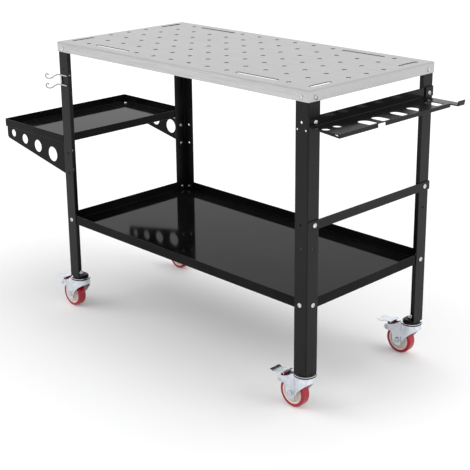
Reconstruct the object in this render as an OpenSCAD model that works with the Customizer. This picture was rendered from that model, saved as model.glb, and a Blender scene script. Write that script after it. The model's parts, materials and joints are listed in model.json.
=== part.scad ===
// Portable welding table on four braked swivel casters, with a bottom tray,
// a side tray on two gusset brackets, a tool rack, an end rail and hooks.
// Millimetres, +Z up, X along the long side, origin on the floor under the
// middle of the whole outline. Front is -Y.

/* [Tabletop] */
// Length of the tabletop along X
top_l = 914; // [800:1:1100]
// Width of the tabletop along Y
top_w = 457; // [400:1:560]
// Height of the work surface above the floor
top_h = 778; // [740:1:900]
// Sheet thickness of the tabletop
top_t = 2; // [1.5:0.1:4]
// Depth of the folded skirt
skirt_h = 27; // [22:1:40]
// Outer radius of the folded edges
top_r = 4.5; // [3:0.5:8]
// Diameter of a fixture hole
hole_d = 12; // [8:0.5:18]
// Pitch of the fixture holes along X
hole_px = 66; // [58:0.5:76]
// Pitch of the fixture holes along Y
hole_py = 63.5; // [56:0.5:76]
// Columns of fixture holes
hole_nx = 14; // [8:2:14]
// Rows of fixture holes
hole_ny = 7; // [5:2:7]
// Width of a clamp slot
slot_w = 12; // [8:0.5:18]
// Overall length of a long clamp slot
slot_long = 136; // [100:1:150]
// Overall length of a short clamp slot
slot_short = 72; // [50:1:76]

/* [Legs] */
// Flange width of the angle leg
leg_w = 38; // [32:1:50]
// Flange thickness of the angle leg
leg_t = 2; // [1.5:0.1:4]
// Outer bend radius of the angle leg
leg_r = 3.2; // [3:0.1:6]
// Gap between the skirt and a leg
leg_gap = 0.4; // [0.2:0.1:1]
// Height of the underside of a leg above the floor
leg_z = 100; // [96:1:130]
// Distance from a leg's outer corner to its line of holes
hole_in = 21; // [17:0.5:26]
// Drop from the work surface to the rack holes
rack_drop = 74; // [66:1:90]
// Height of the upper accessory holes above the floor
rail_z = 467; // [460:1:480]
// Distance between the upper and lower accessory holes
accessory_pitch = 56; // [44:1:60]
// Height of the tray holes above the floor
tray_bolt_z = 273; // [230:1:320]
// Drop from the skirt bolts to the top surface
skirt_bolt_drop = 17; // [13:0.5:19]
// Drop from the rack holes to the pair of hook holes
hook_hole_drop = 17; // [14:0.5:24]
// Distance between the pair of hook holes
hook_hole_gap = 25; // [18:0.5:26]
// Thickness of the foot plate welded into a leg
foot_t = 3; // [2:0.5:6]

/* [Fasteners] */
// Nominal diameter of the frame bolts
bolt_d = 6; // [4:0.5:7]
// Diameter of a bolt hole in the sheet parts
bolt_hole_d = 6.4; // [6.2:0.1:8]
// Diameter of the domed bolt head
head_d = 12; // [10:0.5:14]
// Height of the domed bolt head
head_h = 3.4; // [2:0.1:5]
// Width across flats of the frame nuts
nut_af = 10; // [8:0.5:12]
// Thickness of the frame nuts
nut_h = 5; // [3:0.5:7]
// Thread end that stands past a nut
thread_end = 1.6; // [0.5:0.1:4]

/* [Bottom tray] */
// Sheet thickness of the trays
sheet_t = 1.2; // [0.8:0.1:2.5]
// Height of the bottom tray lip
tray_lip_h = 26; // [20:1:50]
// Distance from the tray underside to its bolts
tray_bolt_up = 11; // [9:0.5:15]
// Outer radius of the folded tray edges
tray_r = 2.6; // [2:0.2:5]

/* [Side tray] */
// Reach of the side tray from the legs
side_l = 287; // [220:1:360]
// Height of the side tray lip
side_lip_h = 23; // [18:1:40]
// Height of the side tray underside above the floor
side_z = 492; // [490:1:520]
// Sheet thickness of the gusset brackets
gusset_t = 2; // [1.5:0.1:3]
// Depth of a gusset bracket at the leg
gusset_deep = 88; // [84:1:100]
// Depth of a gusset bracket at its outer end
gusset_end = 33; // [26:1:40]
// Width of the folded flanges of a gusset bracket
gusset_flange = 30; // [26:1:36]
// Distance from the tray's outer lip to the bracket's end
gusset_back = 5; // [3:1:20]
// Inset of a gusset bracket behind the tray lip
gusset_in = 3; // [2:0.5:8]
// Radius of the bracket's outer lower corner
gusset_r = 9; // [4:1:14]
// Diameter of the smallest lightening hole
light_d = 21.5; // [14:0.5:24]
// Growth of the lightening holes from one to the next
light_step = 7; // [3:0.5:8]
// Distance from the bracket's end to its first lightening hole
light_first = 31; // [24:1:40]
// Metal left between two lightening holes
light_gap = 32; // [14:1:34]
// Metal left between a lightening hole and the bracket's lower edge
light_margin = 12.6; // [6:0.2:13]

/* [Tool rack] */
// Depth of the rack shelf from the legs
rack_reach = 88; // [70:1:110]
// Height of the rack's back plate
rack_back_h = 25; // [22:1:40]
// Sheet thickness of the rack
rack_t = 2; // [1.5:0.1:3]
// Height of the rack's front lip
rack_lip_h = 9; // [6:0.5:14]
// Distance from the rack's fold to its bolts
rack_bolt_up = 10; // [9:0.5:12]
// Shortfall of the shelf beside the arm hook
rack_short = 50; // [46:1:60]
// Diameter of the two round tool holes
tool_hole_d = 20; // [12:0.5:24]
// Distance from the rack's near end to its first round tool hole
tool_hole_end = 16; // [12:1:30]
// Distance between the two round tool holes
tool_hole_gap = 37; // [26:1:44]
// Distance from the rack's back to the round tool holes
tool_hole_out = 36; // [20:1:60]
// Depth of the tool slots
tool_slot_l = 44; // [30:1:50]
// Distance from the rack's near end to its first tool slot
tool_slot_first = 126; // [118:1:130]
// Distance from the rack's near end to the gap in its lip
lip_gap_first = 135; // [128:1:140]
// Length of the gap in the rack's lip
lip_gap_l = 23; // [10:1:26]

/* [Rail and hooks] */
// Height of the end rail
end_rail_h = 22; // [18:1:32]
// Thickness of the end rail
end_rail_t = 3; // [2:0.5:5]
// Width of the flat arm hook
arm_w = 26; // [20:1:30]
// Thickness of the flat arm hook
arm_t = 3; // [2:0.5:5]
// Straight reach of the flat arm hook
arm_reach = 93.5; // [50:0.5:110]
// Drop from the rack's shelf to the arm hook's underside
arm_drop = 6.5; // [4:0.5:12]
// Sloping length of the arm hook's raised end
arm_tip = 12.5; // [8:0.5:30]
// Slope of the arm hook's raised end in degrees
arm_slope = 79; // [25:1:85]
// Wire diameter of the torch hook
wire_d = 4; // [3:0.5:4.4]
// Distance between the two prongs of the torch hook
prong_gap = 27; // [20:1:34]

/* [Casters] */
// Diameter of a wheel
wheel_d = 75; // [70:1:80]
// Width of a tyre
tyre_w = 24; // [20:1:30]
// Radial thickness of a tyre
tyre_t = 8; // [6:0.5:11]
// Trail from the swivel axis to the axle
trail = 32; // [26:1:36]
// Sheet thickness of the fork
fork_t = 2.5; // [2:0.1:4]
// Gap between a tyre and a fork cheek
fork_gap = 2; // [1.5:0.1:4]
// Diameter of the axle bolts
axle_d = 8; // [6:0.5:10]
// Diameter of the threaded stems
stem_d = 10; // [8:0.5:12]
// Outer diameter of the swivel race
race_d = 55; // [52:1:58]
// Outer diameter of the fork's round cap
cap_d = 53; // [50:1:56]
// Outer diameter of the collar over the race
collar_d = 45; // [38:1:48]
// Height of the collar over the race
collar_h = 4.4; // [3:0.2:6]
// Drop from the leg's underside to the fork's top face
race_drop = 9.5; // [9:0.5:14]
// Thickness of the fork's top plate
plate_t = 3; // [2.5:0.1:4]
// Width of a brake pedal
pedal_w = 34; // [26:1:40]
// Length of a brake pedal behind its pin
pedal_l = 31.5; // [26:0.5:40]
// Sheet thickness of a brake pedal
pedal_t = 2; // [1.5:0.1:3]

/* [Hidden] */
$fn = 48;

// Cutting tools run this far past a face
over = 1;
// Running clearance on the radius of every shaft
run = 0.05;
// Outer faces of the legs, from the middle of the tabletop
leg_x = top_l / 2 - top_t - leg_gap;
leg_y = top_w / 2 - top_t - leg_gap;
leg_top = top_h - top_r - leg_gap;
leg_h = leg_top - leg_z;
bore_x = leg_x - hole_in;
bore_y = leg_y - hole_in;
skirt_bolt_z = top_h - skirt_bolt_drop;
rack_z = top_h - rack_drop;
lower_z = rail_z - accessory_pitch;
hook_z = rack_z - hook_hole_drop;
// The arm hook's bend and its farthest point
arm_x = rack_t + arm_t + arm_reach;
arm_end = arm_x + arm_tip * cos(arm_slope);
x_high = leg_x + max(arm_end, rack_reach);
x_low = -leg_x - side_l;
// Middle of the tabletop in the model's frame
tx = -(x_high + x_low) / 2;
// Swivel axes
stem_in = leg_w / 2 + 1.5;
stem_x = leg_x - stem_in;
stem_y = leg_y - stem_in;
wheel_r = wheel_d / 2;
// Heights of the caster's stack above the floor
fork_in = tyre_w / 2 + fork_gap;
fork_out = fork_in + fork_t;
dome_z = leg_z - race_drop;
fork_top_z = dome_z - plate_t;
race_gap = 0.5;
race_low = dome_z + race_gap;
race_top = leg_z - collar_h;
ball_r = 1.9;
ball_z = dome_z + race_gap / 2;
// Pin of the brake pedal, from the swivel axis
pin_d = 5;
pin_x = -trail - 36;
pin_z = wheel_d - 13;
corners = [[-1, -1], [1, -1], [-1, 1], [1, 1]];

module at_table() {
  translate([tx, 0, 0]) children();
}

// Flat shape with round corners
module round_rect(l, w, r) {
  square([l - 2 * r, w], center = true);
  square([l, w - 2 * r], center = true);
  for (sx = [-1, 1], sy = [-1, 1]) translate([sx * (l / 2 - r), sy * (w / 2 - r)]) circle(r);
}

// Section of a folded sheet block: round upper corners, its top at zero
module crown_section(l, h, r) {
  translate([-l / 2, -h]) square([l, h - r]);
  translate([-l / 2 + r, -h]) square([l - 2 * r, h]);
  for (s = [-1, 1]) translate([s * (l / 2 - r), -r]) circle(r);
}

// Block with round upper edges and round upright corners
module crown(l, w, h, r) {
  intersection() {
    translate([0, 0, -h]) linear_extrude(h) round_rect(l, w, r);
    rotate([90, 0, 0]) linear_extrude(w + 2 * over, center = true) crown_section(l, h, r);
    rotate([90, 0, 90]) linear_extrude(l + 2 * over, center = true) crown_section(w, h, r);
  }
}

// Folded sheet pan that opens downwards, its face at zero
module pan(l, w, h, t, r) {
  difference() {
    crown(l, w, h, r);
    translate([0, 0, -t]) crown(l - 2 * t, w - 2 * t, h + over, r - t);
  }
}

// Tray that opens upwards, its underside at zero
module tray_pan(l, w, h, t, r) {
  mirror([0, 0, 1]) pan(l, w, h, t, r);
}

// Slot outline, centred, along X
module slot_shape(l, w) {
  square([l - w, w], center = true);
  for (s = [-1, 1]) translate([s * (l - w) / 2, 0]) circle(d = w);
}

// Drill along X or Y through a sheet at a point
module drill_x(x, y, z, d, l) {
  translate([x, y, z]) rotate([0, 90, 0]) cylinder(d = d, h = l, center = true);
}

module drill_y(x, y, z, d, l) {
  translate([x, y, z]) rotate([90, 0, 0]) cylinder(d = d, h = l, center = true);
}

// A long slot stands in for two holes of the grid, four columns out
function in_slot(i, j) =
  let (cx = abs(i - (hole_nx - 1) / 2) + 0.5, cy = abs(j - (hole_ny - 1) / 2), edge = (hole_ny - 1) / 2)
  (cy == edge && (cx == 4 || cx == 5)) || (cx == hole_nx / 2 && cy >= edge - 1);

module fixture_cuts() {
  x0 = (hole_nx - 1) / 2 * hole_px;
  y0 = (hole_ny - 1) / 2 * hole_py;
  for (i = [0:hole_nx - 1], j = [0:hole_ny - 1])
    if (!in_slot(i, j)) translate([i * hole_px - x0, j * hole_py - y0]) circle(d = hole_d, $fn = 32);
  for (sx = [-1, 1], sy = [-1, 1]) {
    translate([sx * 4 * hole_px, sy * y0]) slot_shape(slot_long, slot_w);
    translate([sx * x0, sy * (y0 - hole_py / 2)]) rotate(90) slot_shape(slot_short, slot_w);
  }
}

module tabletop() {
  color("silver") at_table() difference() {
    translate([0, 0, top_h]) pan(top_l, top_w, skirt_h, top_t, top_r);
    translate([0, 0, top_h - top_t - over]) linear_extrude(top_t + 2 * over) fixture_cuts();
    for (c = corners) {
      drill_x(c[0] * top_l / 2, c[1] * bore_y, skirt_bolt_z, bolt_hole_d, 4 * top_t);
      drill_y(c[0] * bore_x, c[1] * top_w / 2, skirt_bolt_z, bolt_hole_d, 4 * top_t);
    }
  }
}

// Angle section: corner at the origin, flanges along +X and +Y
module angle_section() {
  difference() {
    union() {
      translate([leg_r, 0]) square([leg_w - leg_r, leg_t]);
      translate([0, leg_r]) square([leg_t, leg_w - leg_r]);
      intersection() {
        square([leg_r, leg_r]);
        translate([leg_r, leg_r]) circle(leg_r);
      }
    }
    translate([leg_r, leg_r]) circle(leg_r - leg_t);
  }
}

// Square foot plate with its inner corner cut off
module foot_outline(w, cut) {
  polygon([[0, 0], [w, 0], [w, w - cut], [w - cut, w], [0, w]]);
}

module leg_form() {
  heights = [skirt_bolt_z, rack_z, rail_z, lower_z, tray_bolt_z];
  difference() {
    union() {
      translate([0, 0, leg_z]) linear_extrude(leg_h) angle_section();
      translate([leg_t, leg_t, leg_z]) linear_extrude(foot_t) foot_outline(leg_w - leg_t, 7);
    }
    for (z = heights) {
      drill_x(leg_t / 2, hole_in, z, bolt_hole_d, leg_t + over);
      drill_y(hole_in, leg_t / 2, z, bolt_hole_d, leg_t + over);
    }
    for (s = [-1, 1]) drill_y(hole_in + s * hook_hole_gap / 2, leg_t / 2, hook_z, wire_d + 1, leg_t + over);
    translate([stem_in, stem_in, leg_z - over]) cylinder(d = stem_d + 0.5, h = foot_t + 2 * over);
  }
}

// A leg at the corner given by the signs of X and Y
module leg_at(sx, sy) {
  color("dimgray") at_table() translate([sx * leg_x, sy * leg_y, 0])
    mirror([sx > 0 ? 1 : 0, 0, 0]) mirror([0, sy > 0 ? 1 : 0, 0]) leg_form();
}

module leg_front_left() {
  leg_at(-1, -1);
}

module leg_front_right() {
  leg_at(1, -1);
}

module leg_back_left() {
  leg_at(-1, 1);
}

module leg_back_right() {
  leg_at(1, 1);
}

module bottom_tray() {
  l = 2 * (leg_x - leg_t);
  w = 2 * (leg_y - leg_t);
  tray_z = tray_bolt_z - tray_bolt_up;
  color("#202022") at_table() difference() {
    translate([0, 0, tray_z]) tray_pan(l, w, tray_lip_h, sheet_t, tray_r);
    for (c = corners) {
      drill_x(c[0] * l / 2, c[1] * bore_y, tray_bolt_z, bolt_hole_d, 4 * sheet_t);
      drill_y(c[0] * bore_x, c[1] * w / 2, tray_bolt_z, bolt_hole_d, 4 * sheet_t);
    }
  }
}

// Side tray and its two brackets
side_w = 2 * leg_y;
side_out = -leg_x - side_l;
gusset_x = side_out + gusset_back;
gusset_len = -leg_x - gusset_x;
gusset_y = leg_y - gusset_in;
shelf_bolt_x = [gusset_x + 22, -leg_x - 22];
shelf_bolt_y = gusset_y - gusset_flange / 2 - gusset_t / 2;

module side_tray() {
  color("#202022") at_table() difference() {
    translate([-leg_x - side_l / 2, 0, side_z]) tray_pan(side_l, side_w, side_lip_h, sheet_t, tray_r);
    for (x = shelf_bolt_x, s = [-1, 1])
      translate([x, s * shelf_bolt_y, side_z - over]) cylinder(d = bolt_hole_d, h = sheet_t + 2 * over);
  }
}

// Outline of a gusset, from its outer upper corner at the origin
module gusset_outline() {
  difference() {
    polygon([[0, 0], [0, -gusset_end], [gusset_len, -gusset_deep], [gusset_len, 0]]);
    translate([-over, -gusset_end - over]) square([gusset_r + over, gusset_r + over]);
  }
  translate([gusset_r, -gusset_end + gusset_r - 1]) circle(gusset_r);
}

// Places and sizes of the four lightening holes
light_n = 4;
function light_x(i) = light_first + i * (light_d + light_gap) + light_step * i * i / 2;
function light_r(i) = (light_d + i * light_step) / 2;
function gusset_depth(x) = gusset_end + (gusset_deep - gusset_end) * x / gusset_len;
function light_z(i) = light_r(i) + light_margin - gusset_depth(light_x(i));

module gusset_form() {
  translate([gusset_x, 0, side_z]) difference() {
    union() {
      // Web
      translate([0, gusset_t, 0]) rotate([90, 0, 0]) linear_extrude(gusset_t) gusset_outline();
      // Flange under the tray
      translate([gusset_r, 0, -gusset_t]) cube([gusset_len - gusset_r, gusset_flange, gusset_t]);
      // Flange on the leg
      translate([gusset_len - gusset_t, 0, -gusset_deep]) cube([gusset_t, gusset_flange, gusset_deep]);
    }
    for (i = [0:light_n - 1]) drill_y(light_x(i), gusset_t / 2, light_z(i), 2 * light_r(i), gusset_t + over);
    for (x = shelf_bolt_x) translate([x - gusset_x, gusset_y - shelf_bolt_y, -gusset_t - over])
      cylinder(d = bolt_hole_d, h = gusset_t + 2 * over);
    for (z = [rail_z, lower_z]) drill_x(gusset_len, gusset_y - bore_y, z - side_z, bolt_hole_d, 4 * gusset_t);
  }
}

module side_bracket_front() {
  color("#202022") at_table() translate([0, -gusset_y, 0]) gusset_form();
}

module side_bracket_back() {
  color("#202022") at_table() translate([0, gusset_y, 0]) mirror([0, 1, 0]) gusset_form();
}

// Tool rack: back plate, shelf and lip in one folded sheet
shelf_z = rack_z - rack_bolt_up;
rack_near = -leg_y;
rack_far = leg_y - rack_short;
// Tool slots: steps from the first one, and widths
slot_step = [0, 47, 114, 175, 248];
slot_width = [33, 30, 28, 26, 30];
slot_edge = 4;
slot_x = rack_reach - rack_t - slot_edge - tool_slot_l;

// Tool slot with a round inner end, along +X
module tool_slot(w) {
  translate([w / 2, 0]) circle(d = w);
  translate([w / 2, -w / 2]) square([tool_slot_l - w / 2, w]);
}

module tool_rack() {
  color("#202022") at_table() translate([leg_x, 0, 0]) difference() {
    union() {
      translate([0, rack_near, shelf_z]) cube([rack_t, 2 * leg_y, rack_back_h]);
      translate([0, rack_near, shelf_z]) cube([rack_reach, rack_far - rack_near, rack_t]);
      translate([rack_reach - rack_t, rack_near, shelf_z + rack_t - rack_lip_h])
        cube([rack_t, rack_far - rack_near, rack_lip_h]);
    }
    translate([rack_reach - rack_t - over, rack_near + lip_gap_first, shelf_z - rack_lip_h])
      cube([rack_t + 2 * over, lip_gap_l, rack_lip_h]);
    for (i = [0, 1]) translate([tool_hole_out, rack_near + tool_hole_end + i * tool_hole_gap, shelf_z - over])
      cylinder(d = tool_hole_d, h = rack_t + 2 * over);
    for (i = [0:len(slot_step) - 1])
      translate([slot_x, rack_near + tool_slot_first + slot_step[i], shelf_z - over])
        linear_extrude(rack_t + 2 * over) tool_slot(slot_width[i]);
    for (s = [-1, 1]) drill_x(0, s * bore_y, rack_z, bolt_hole_d, 4 * rack_t);
  }
}

module end_rail() {
  color("#202022") at_table() difference() {
    translate([leg_x, 0, rail_z]) rotate([90, 0, 90])
      linear_extrude(end_rail_t) round_rect(2 * leg_y, end_rail_h, 2);
    for (s = [-1, 1]) drill_x(leg_x, s * bore_y, rail_z, bolt_hole_d, 4 * end_rail_t);
  }
}

// Flat bar hook bolted over the rack's back plate
module hook_arm() {
  low = shelf_z - arm_drop;
  tab_h = rack_back_h + arm_drop;
  x0 = rack_t;
  color("#202022") at_table() translate([leg_x, bore_y, 0]) difference() {
    union() {
      translate([x0, -arm_w / 2, low]) cube([arm_t, arm_w, tab_h]);
      translate([x0, -arm_w / 2, low]) cube([arm_x - x0, arm_w, arm_t]);
      translate([arm_x, 0, low]) rotate([90, 0, 0]) linear_extrude(arm_w, center = true)
        rotate(arm_slope) square([arm_tip, arm_t]);
    }
    drill_x(x0, 0, rack_z, bolt_hole_d, 4 * arm_t);
  }
}

// Wire hook on the front left leg. Its path lies in a plane in front of the
// leg: X and Z from the leg's outer corner at the height of the hook holes.
curl_n = 10;
function curl(cx, cz, r) = [for (i = [0:curl_n]) let (a = 60 + i * 210 / curl_n)
  [cx + 1.5 * r * cos(a), cz + r * sin(a)]];
function prong(z) = concat(curl(-55, z - 12, 6), [[-46, z - 17.6], [-34, z - 14], [-22, z - 7], [-8, z - 1], [2, z]]);
wire_path = concat(prong(0), [[8, -1.5], [9.5, -6]],
  [[9.5, -prong_gap + 6], [8, -prong_gap + 1.5]], [for (i = [curl_n + 5:-1:0]) prong(-prong_gap)[i]]);
wire_sides = 12;

function unit2(v) = v / norm(v);
function path_dir(p, i) = unit2(p[min(i + 1, len(p) - 1)] - p[max(i - 1, 0)]);

// Tube along a flat path, as rings joined by triangles
module wire_sweep(p, r) {
  n = len(p);
  m = wire_sides;
  points = [for (i = [0:n - 1], k = [0:m - 1])
    let (d = path_dir(p, i), a = 360 * k / m)
    [p[i][0] - d[1] * r * cos(a), r * sin(a), p[i][1] + d[0] * r * cos(a)]];
  sides = [for (i = [0:n - 2], k = [0:m - 1])
    let (a = i * m + k, b = i * m + (k + 1) % m) each [[a, b, b + m], [a, b + m, a + m]]];
  ends = [[for (k = [m - 1:-1:0]) k], [for (k = [0:m - 1]) (n - 1) * m + k]];
  polyhedron(points, concat(sides, ends), convexity = 6);
}

module torch_hook() {
  wire_gap = 0.2;
  stub_end = hole_in + hook_hole_gap / 2;
  r = wire_d / 2;
  color("silver") at_table() translate([-leg_x, -leg_y - r - wire_gap, hook_z]) {
    wire_sweep(wire_path, r);
    // Upper end: along the leg and through its hook hole
    translate([7, 0, 0]) rotate([0, 90, 0]) cylinder(r = r, h = stub_end - 7);
    translate([stub_end, 0, 0]) sphere(r);
    translate([stub_end, 0, 0]) rotate([-90, 0, 0]) cylinder(r = r, h = leg_t + 10);
    // Lower end: along the leg
    translate([7, 0, -prong_gap]) rotate([0, 90, 0]) cylinder(r = r, h = stub_end - 7);
  }
}

// Domed bolt: seat at the origin, head along +Z, shank along -Z
module bolt(grip) {
  dome_r = (head_d * head_d / 4 + head_h * head_h) / (2 * head_h);
  intersection() {
    translate([0, 0, head_h - dome_r]) sphere(dome_r, $fn = 64);
    cylinder(d = head_d + 2, h = head_h + 2);
  }
  translate([0, 0, -grip - nut_h - thread_end]) cylinder(d = bolt_d, h = grip + nut_h + thread_end);
}

// Hex nut under a sheet of the given grip
module nut(grip) {
  translate([0, 0, -grip - nut_h]) difference() {
    cylinder(d = nut_af / cos(30), h = nut_h, $fn = 6);
    translate([0, 0, -over]) cylinder(d = bolt_d, h = nut_h + 2 * over);
  }
}

// Puts fasteners on the outer faces of the four corners, on both flanges
module on_corners(z, out) {
  for (c = corners) {
    translate([c[0] * (leg_x + out), c[1] * bore_y, z]) rotate([0, c[0] * 90, 0]) children();
    translate([c[0] * bore_x, c[1] * (leg_y + out), z]) rotate([-c[1] * 90, 0, 0]) children();
  }
}

// The skirt bolts pass the skirt, the gap and the leg
skirt_out = top_t + leg_gap;
skirt_grip = skirt_out + leg_t;
tray_grip = leg_t + sheet_t;

module frame_bolts() {
  color("lightgray") at_table() {
    on_corners(skirt_bolt_z, skirt_out) bolt(skirt_grip);
    on_corners(tray_bolt_z, 0) bolt(tray_grip);
  }
}

module frame_nuts() {
  color("lightgray") at_table() {
    on_corners(skirt_bolt_z, skirt_out) nut(skirt_grip);
    on_corners(tray_bolt_z, 0) nut(tray_grip);
  }
}

// Places of one kind of accessory fastener, its axis along +Z
module at_accessory(kind) {
  for (s = [-1, 1]) {
    if (kind == "rack" && s < 0) translate([leg_x + rack_t, s * bore_y, rack_z]) rotate([0, 90, 0]) children();
    if (kind == "arm" && s > 0) translate([leg_x + rack_t + arm_t, s * bore_y, rack_z]) rotate([0, 90, 0]) children();
    if (kind == "rail") translate([leg_x + end_rail_t, s * bore_y, rail_z]) rotate([0, 90, 0]) children();
    if (kind == "bracket") for (z = [rail_z, lower_z])
      translate([-leg_x - gusset_t, s * bore_y, z]) rotate([0, -90, 0]) children();
    if (kind == "shelf") for (x = shelf_bolt_x)
      translate([x, s * shelf_bolt_y, side_z + sheet_t]) children();
  }
}

module accessory_bolts() {
  color("lightgray") at_table() {
    at_accessory("rack") bolt(rack_t + leg_t);
    at_accessory("arm") bolt(arm_t + rack_t + leg_t);
    at_accessory("rail") bolt(end_rail_t + leg_t);
    at_accessory("bracket") bolt(gusset_t + leg_t);
    at_accessory("shelf") bolt(sheet_t + gusset_t);
  }
}

module accessory_nuts() {
  color("lightgray") at_table() {
    at_accessory("rack") nut(rack_t + leg_t);
    at_accessory("arm") nut(arm_t + rack_t + leg_t);
    at_accessory("rail") nut(end_rail_t + leg_t);
    at_accessory("bracket") nut(gusset_t + leg_t);
    at_accessory("shelf") nut(sheet_t + gusset_t);
  }
}

// Casters. Each form is drawn about its swivel axis and placed by its corner.
module at_caster(c) {
  at_table() translate([c[0] * stem_x, c[1] * stem_y, 0]) children();
}

stem_nut_h = 8;
stem_nut_af = 17;

module stem_nuts() {
  color("lightgray") for (c = corners) at_caster(c) translate([0, 0, leg_z + foot_t]) difference() {
    cylinder(d = stem_nut_af / cos(30), h = stem_nut_h, $fn = 6);
    translate([0, 0, -over]) cylinder(d = stem_d, h = stem_nut_h + 2 * over);
  }
}

module stem_collars() {
  bevel = 1.2;
  color("#202022") for (c = corners) at_caster(c) translate([0, 0, race_top]) difference() {
    union() {
      cylinder(d = collar_d, h = collar_h - bevel);
      translate([0, 0, collar_h - bevel]) cylinder(d1 = collar_d, d2 = collar_d - 2 * bevel, h = bevel);
    }
    translate([0, 0, -over]) cylinder(d = stem_d + 0.5, h = collar_h + 2 * over);
  }
}

ball_n = 12;
ball_ring = race_d / 2 - 8;
groove_r = ball_r + 0.25;

module swivel_balls() {
  color("silver") for (c = corners) at_caster(c)
    for (i = [0:ball_n - 1]) rotate(360 * i / ball_n) translate([ball_ring, 0, ball_z]) sphere(ball_r, $fn = 24);
}

// Stem with the upper race cup, fixed to the leg. Its riveted head holds the fork.
rivet_h = 3;
stem_low = fork_top_z - 0.4 - rivet_h;
rim_h = 1.6;

// Half section of the race cup: a rim, then a crown up to the collar
module cup_section() {
  crown_w = (race_d - collar_d) / 2 + 1;
  crown_h = race_top - race_low - rim_h;
  translate([0, race_low]) square([race_d / 2, rim_h]);
  translate([0, race_low]) square([race_d / 2 - crown_w, race_top - race_low]);
  intersection() {
    translate([race_d / 2 - crown_w, race_low + rim_h]) square([crown_w, crown_h]);
    translate([race_d / 2 - crown_w, race_low + rim_h]) scale(crown_w) circle(1);
  }
}

module stem_form() {
  difference() {
    union() {
      translate([0, 0, stem_low]) cylinder(d = stem_d, h = leg_z + foot_t + stem_nut_h + 3 - stem_low);
      translate([0, 0, stem_low]) cylinder(d = stem_d + 7, h = rivet_h);
      rotate_extrude() cup_section();
    }
    rotate_extrude() translate([ball_ring, ball_z]) circle(groove_r, $fn = 32);
  }
}

// Fork plan: a round cap in front, two flat cheeks behind
module fork_plan(inset) {
  circle(cap_d / 2 - inset);
  translate([pin_x - 20, inset - fork_out]) square([-pin_x + 20, 2 * (fork_out - inset)]);
}

// Fork from the side, X and Z from the swivel axis
module fork_side() {
  cap_r = cap_d / 2 + over;
  lobe_r = 16;
  polygon([
    [cap_r, dome_z], [cap_r, wheel_d + 3], [23, wheel_d + 1], [13.5, wheel_d - 6.5], [0, wheel_r + 17.5],
    [-8, wheel_r + 5.5], [-trail + lobe_r, wheel_r - 4], [-trail, wheel_r], [-trail - lobe_r, wheel_r + 2],
    [-trail - lobe_r - 1, wheel_r + 13], [-trail - lobe_r - 5, wheel_r + 19],
    [pin_x - 1, pin_z - 6], [pin_x - 6, pin_z - 2], [pin_x - 8, pin_z + 5], [pin_x - 4, pin_z + 9],
    [pin_x + 16, pin_z + 13.5], [pin_x + 28, dome_z - 10], [-cap_d / 2, dome_z]
  ]);
  translate([-trail, wheel_r]) circle(lobe_r);
}

module fork_form() {
  difference() {
    union() {
      intersection() {
        linear_extrude(dome_z) difference() {
          fork_plan(0);
          fork_plan(fork_t);
        }
        rotate([90, 0, 0]) linear_extrude(2 * cap_d, center = true) fork_side();
      }
      translate([0, 0, fork_top_z]) linear_extrude(plate_t) circle(cap_d / 2 - fork_t / 2);
    }
    translate([0, 0, fork_top_z - over]) cylinder(d = stem_d + 2 * run, h = plate_t + 2 * over);
    rotate_extrude() translate([ball_ring, ball_z]) circle(groove_r, $fn = 32);
    drill_y(-trail, 0, wheel_r, axle_d + 2 * run, 4 * fork_out);
    drill_y(pin_x, 0, pin_z, pin_d + 2 * run, 4 * fork_out);
  }
}

axle_head_h = 5;
axle_af = 13;

module axle_form() {
  translate([-trail, 0, wheel_r]) rotate([90, 0, 0]) {
    translate([0, 0, -fork_out - axle_head_h - 2]) cylinder(d = axle_d, h = 2 * fork_out + axle_head_h + 2);
    translate([0, 0, fork_out]) cylinder(d = axle_af / cos(30), h = axle_head_h, $fn = 6);
  }
}

module axle_nut_form() {
  translate([-trail, 0, wheel_r]) rotate([90, 0, 0]) translate([0, 0, -fork_out - axle_head_h]) difference() {
    cylinder(d = axle_af / cos(30), h = axle_head_h, $fn = 6);
    translate([0, 0, -over]) cylinder(d = axle_d, h = axle_head_h + 2 * over);
  }
}

// Wheel centre: boss, web and rim
module hub_form() {
  rim_r = wheel_r - tyre_t;
  boss_w = 2 * fork_in - 0.6;
  translate([-trail, 0, wheel_r]) rotate([90, 0, 0]) rotate_extrude() difference() {
    union() {
      translate([0, -boss_w / 2]) square([axle_d / 2 + 5, boss_w]);
      translate([0, -5]) square([rim_r, 10]);
      translate([rim_r - 5, -tyre_w / 2 + 1]) square([5, tyre_w - 2]);
    }
    translate([0, -boss_w]) square([axle_d / 2 + run, 2 * boss_w]);
  }
}

// Tyre with a crowned tread, its rounded shoulders as circles
module tyre_form() {
  shoulder = 4;
  rim_r = wheel_r - tyre_t;
  translate([-trail, 0, wheel_r]) rotate([90, 0, 0]) rotate_extrude($fn = 96) {
    translate([rim_r, -tyre_w / 2]) square([tyre_t - shoulder, tyre_w]);
    translate([rim_r, -tyre_w / 2 + shoulder]) square([tyre_t, tyre_w - 2 * shoulder]);
    for (s = [-1, 1]) translate([wheel_r - shoulder, s * (tyre_w / 2 - shoulder)]) circle(shoulder);
  }
}

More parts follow.
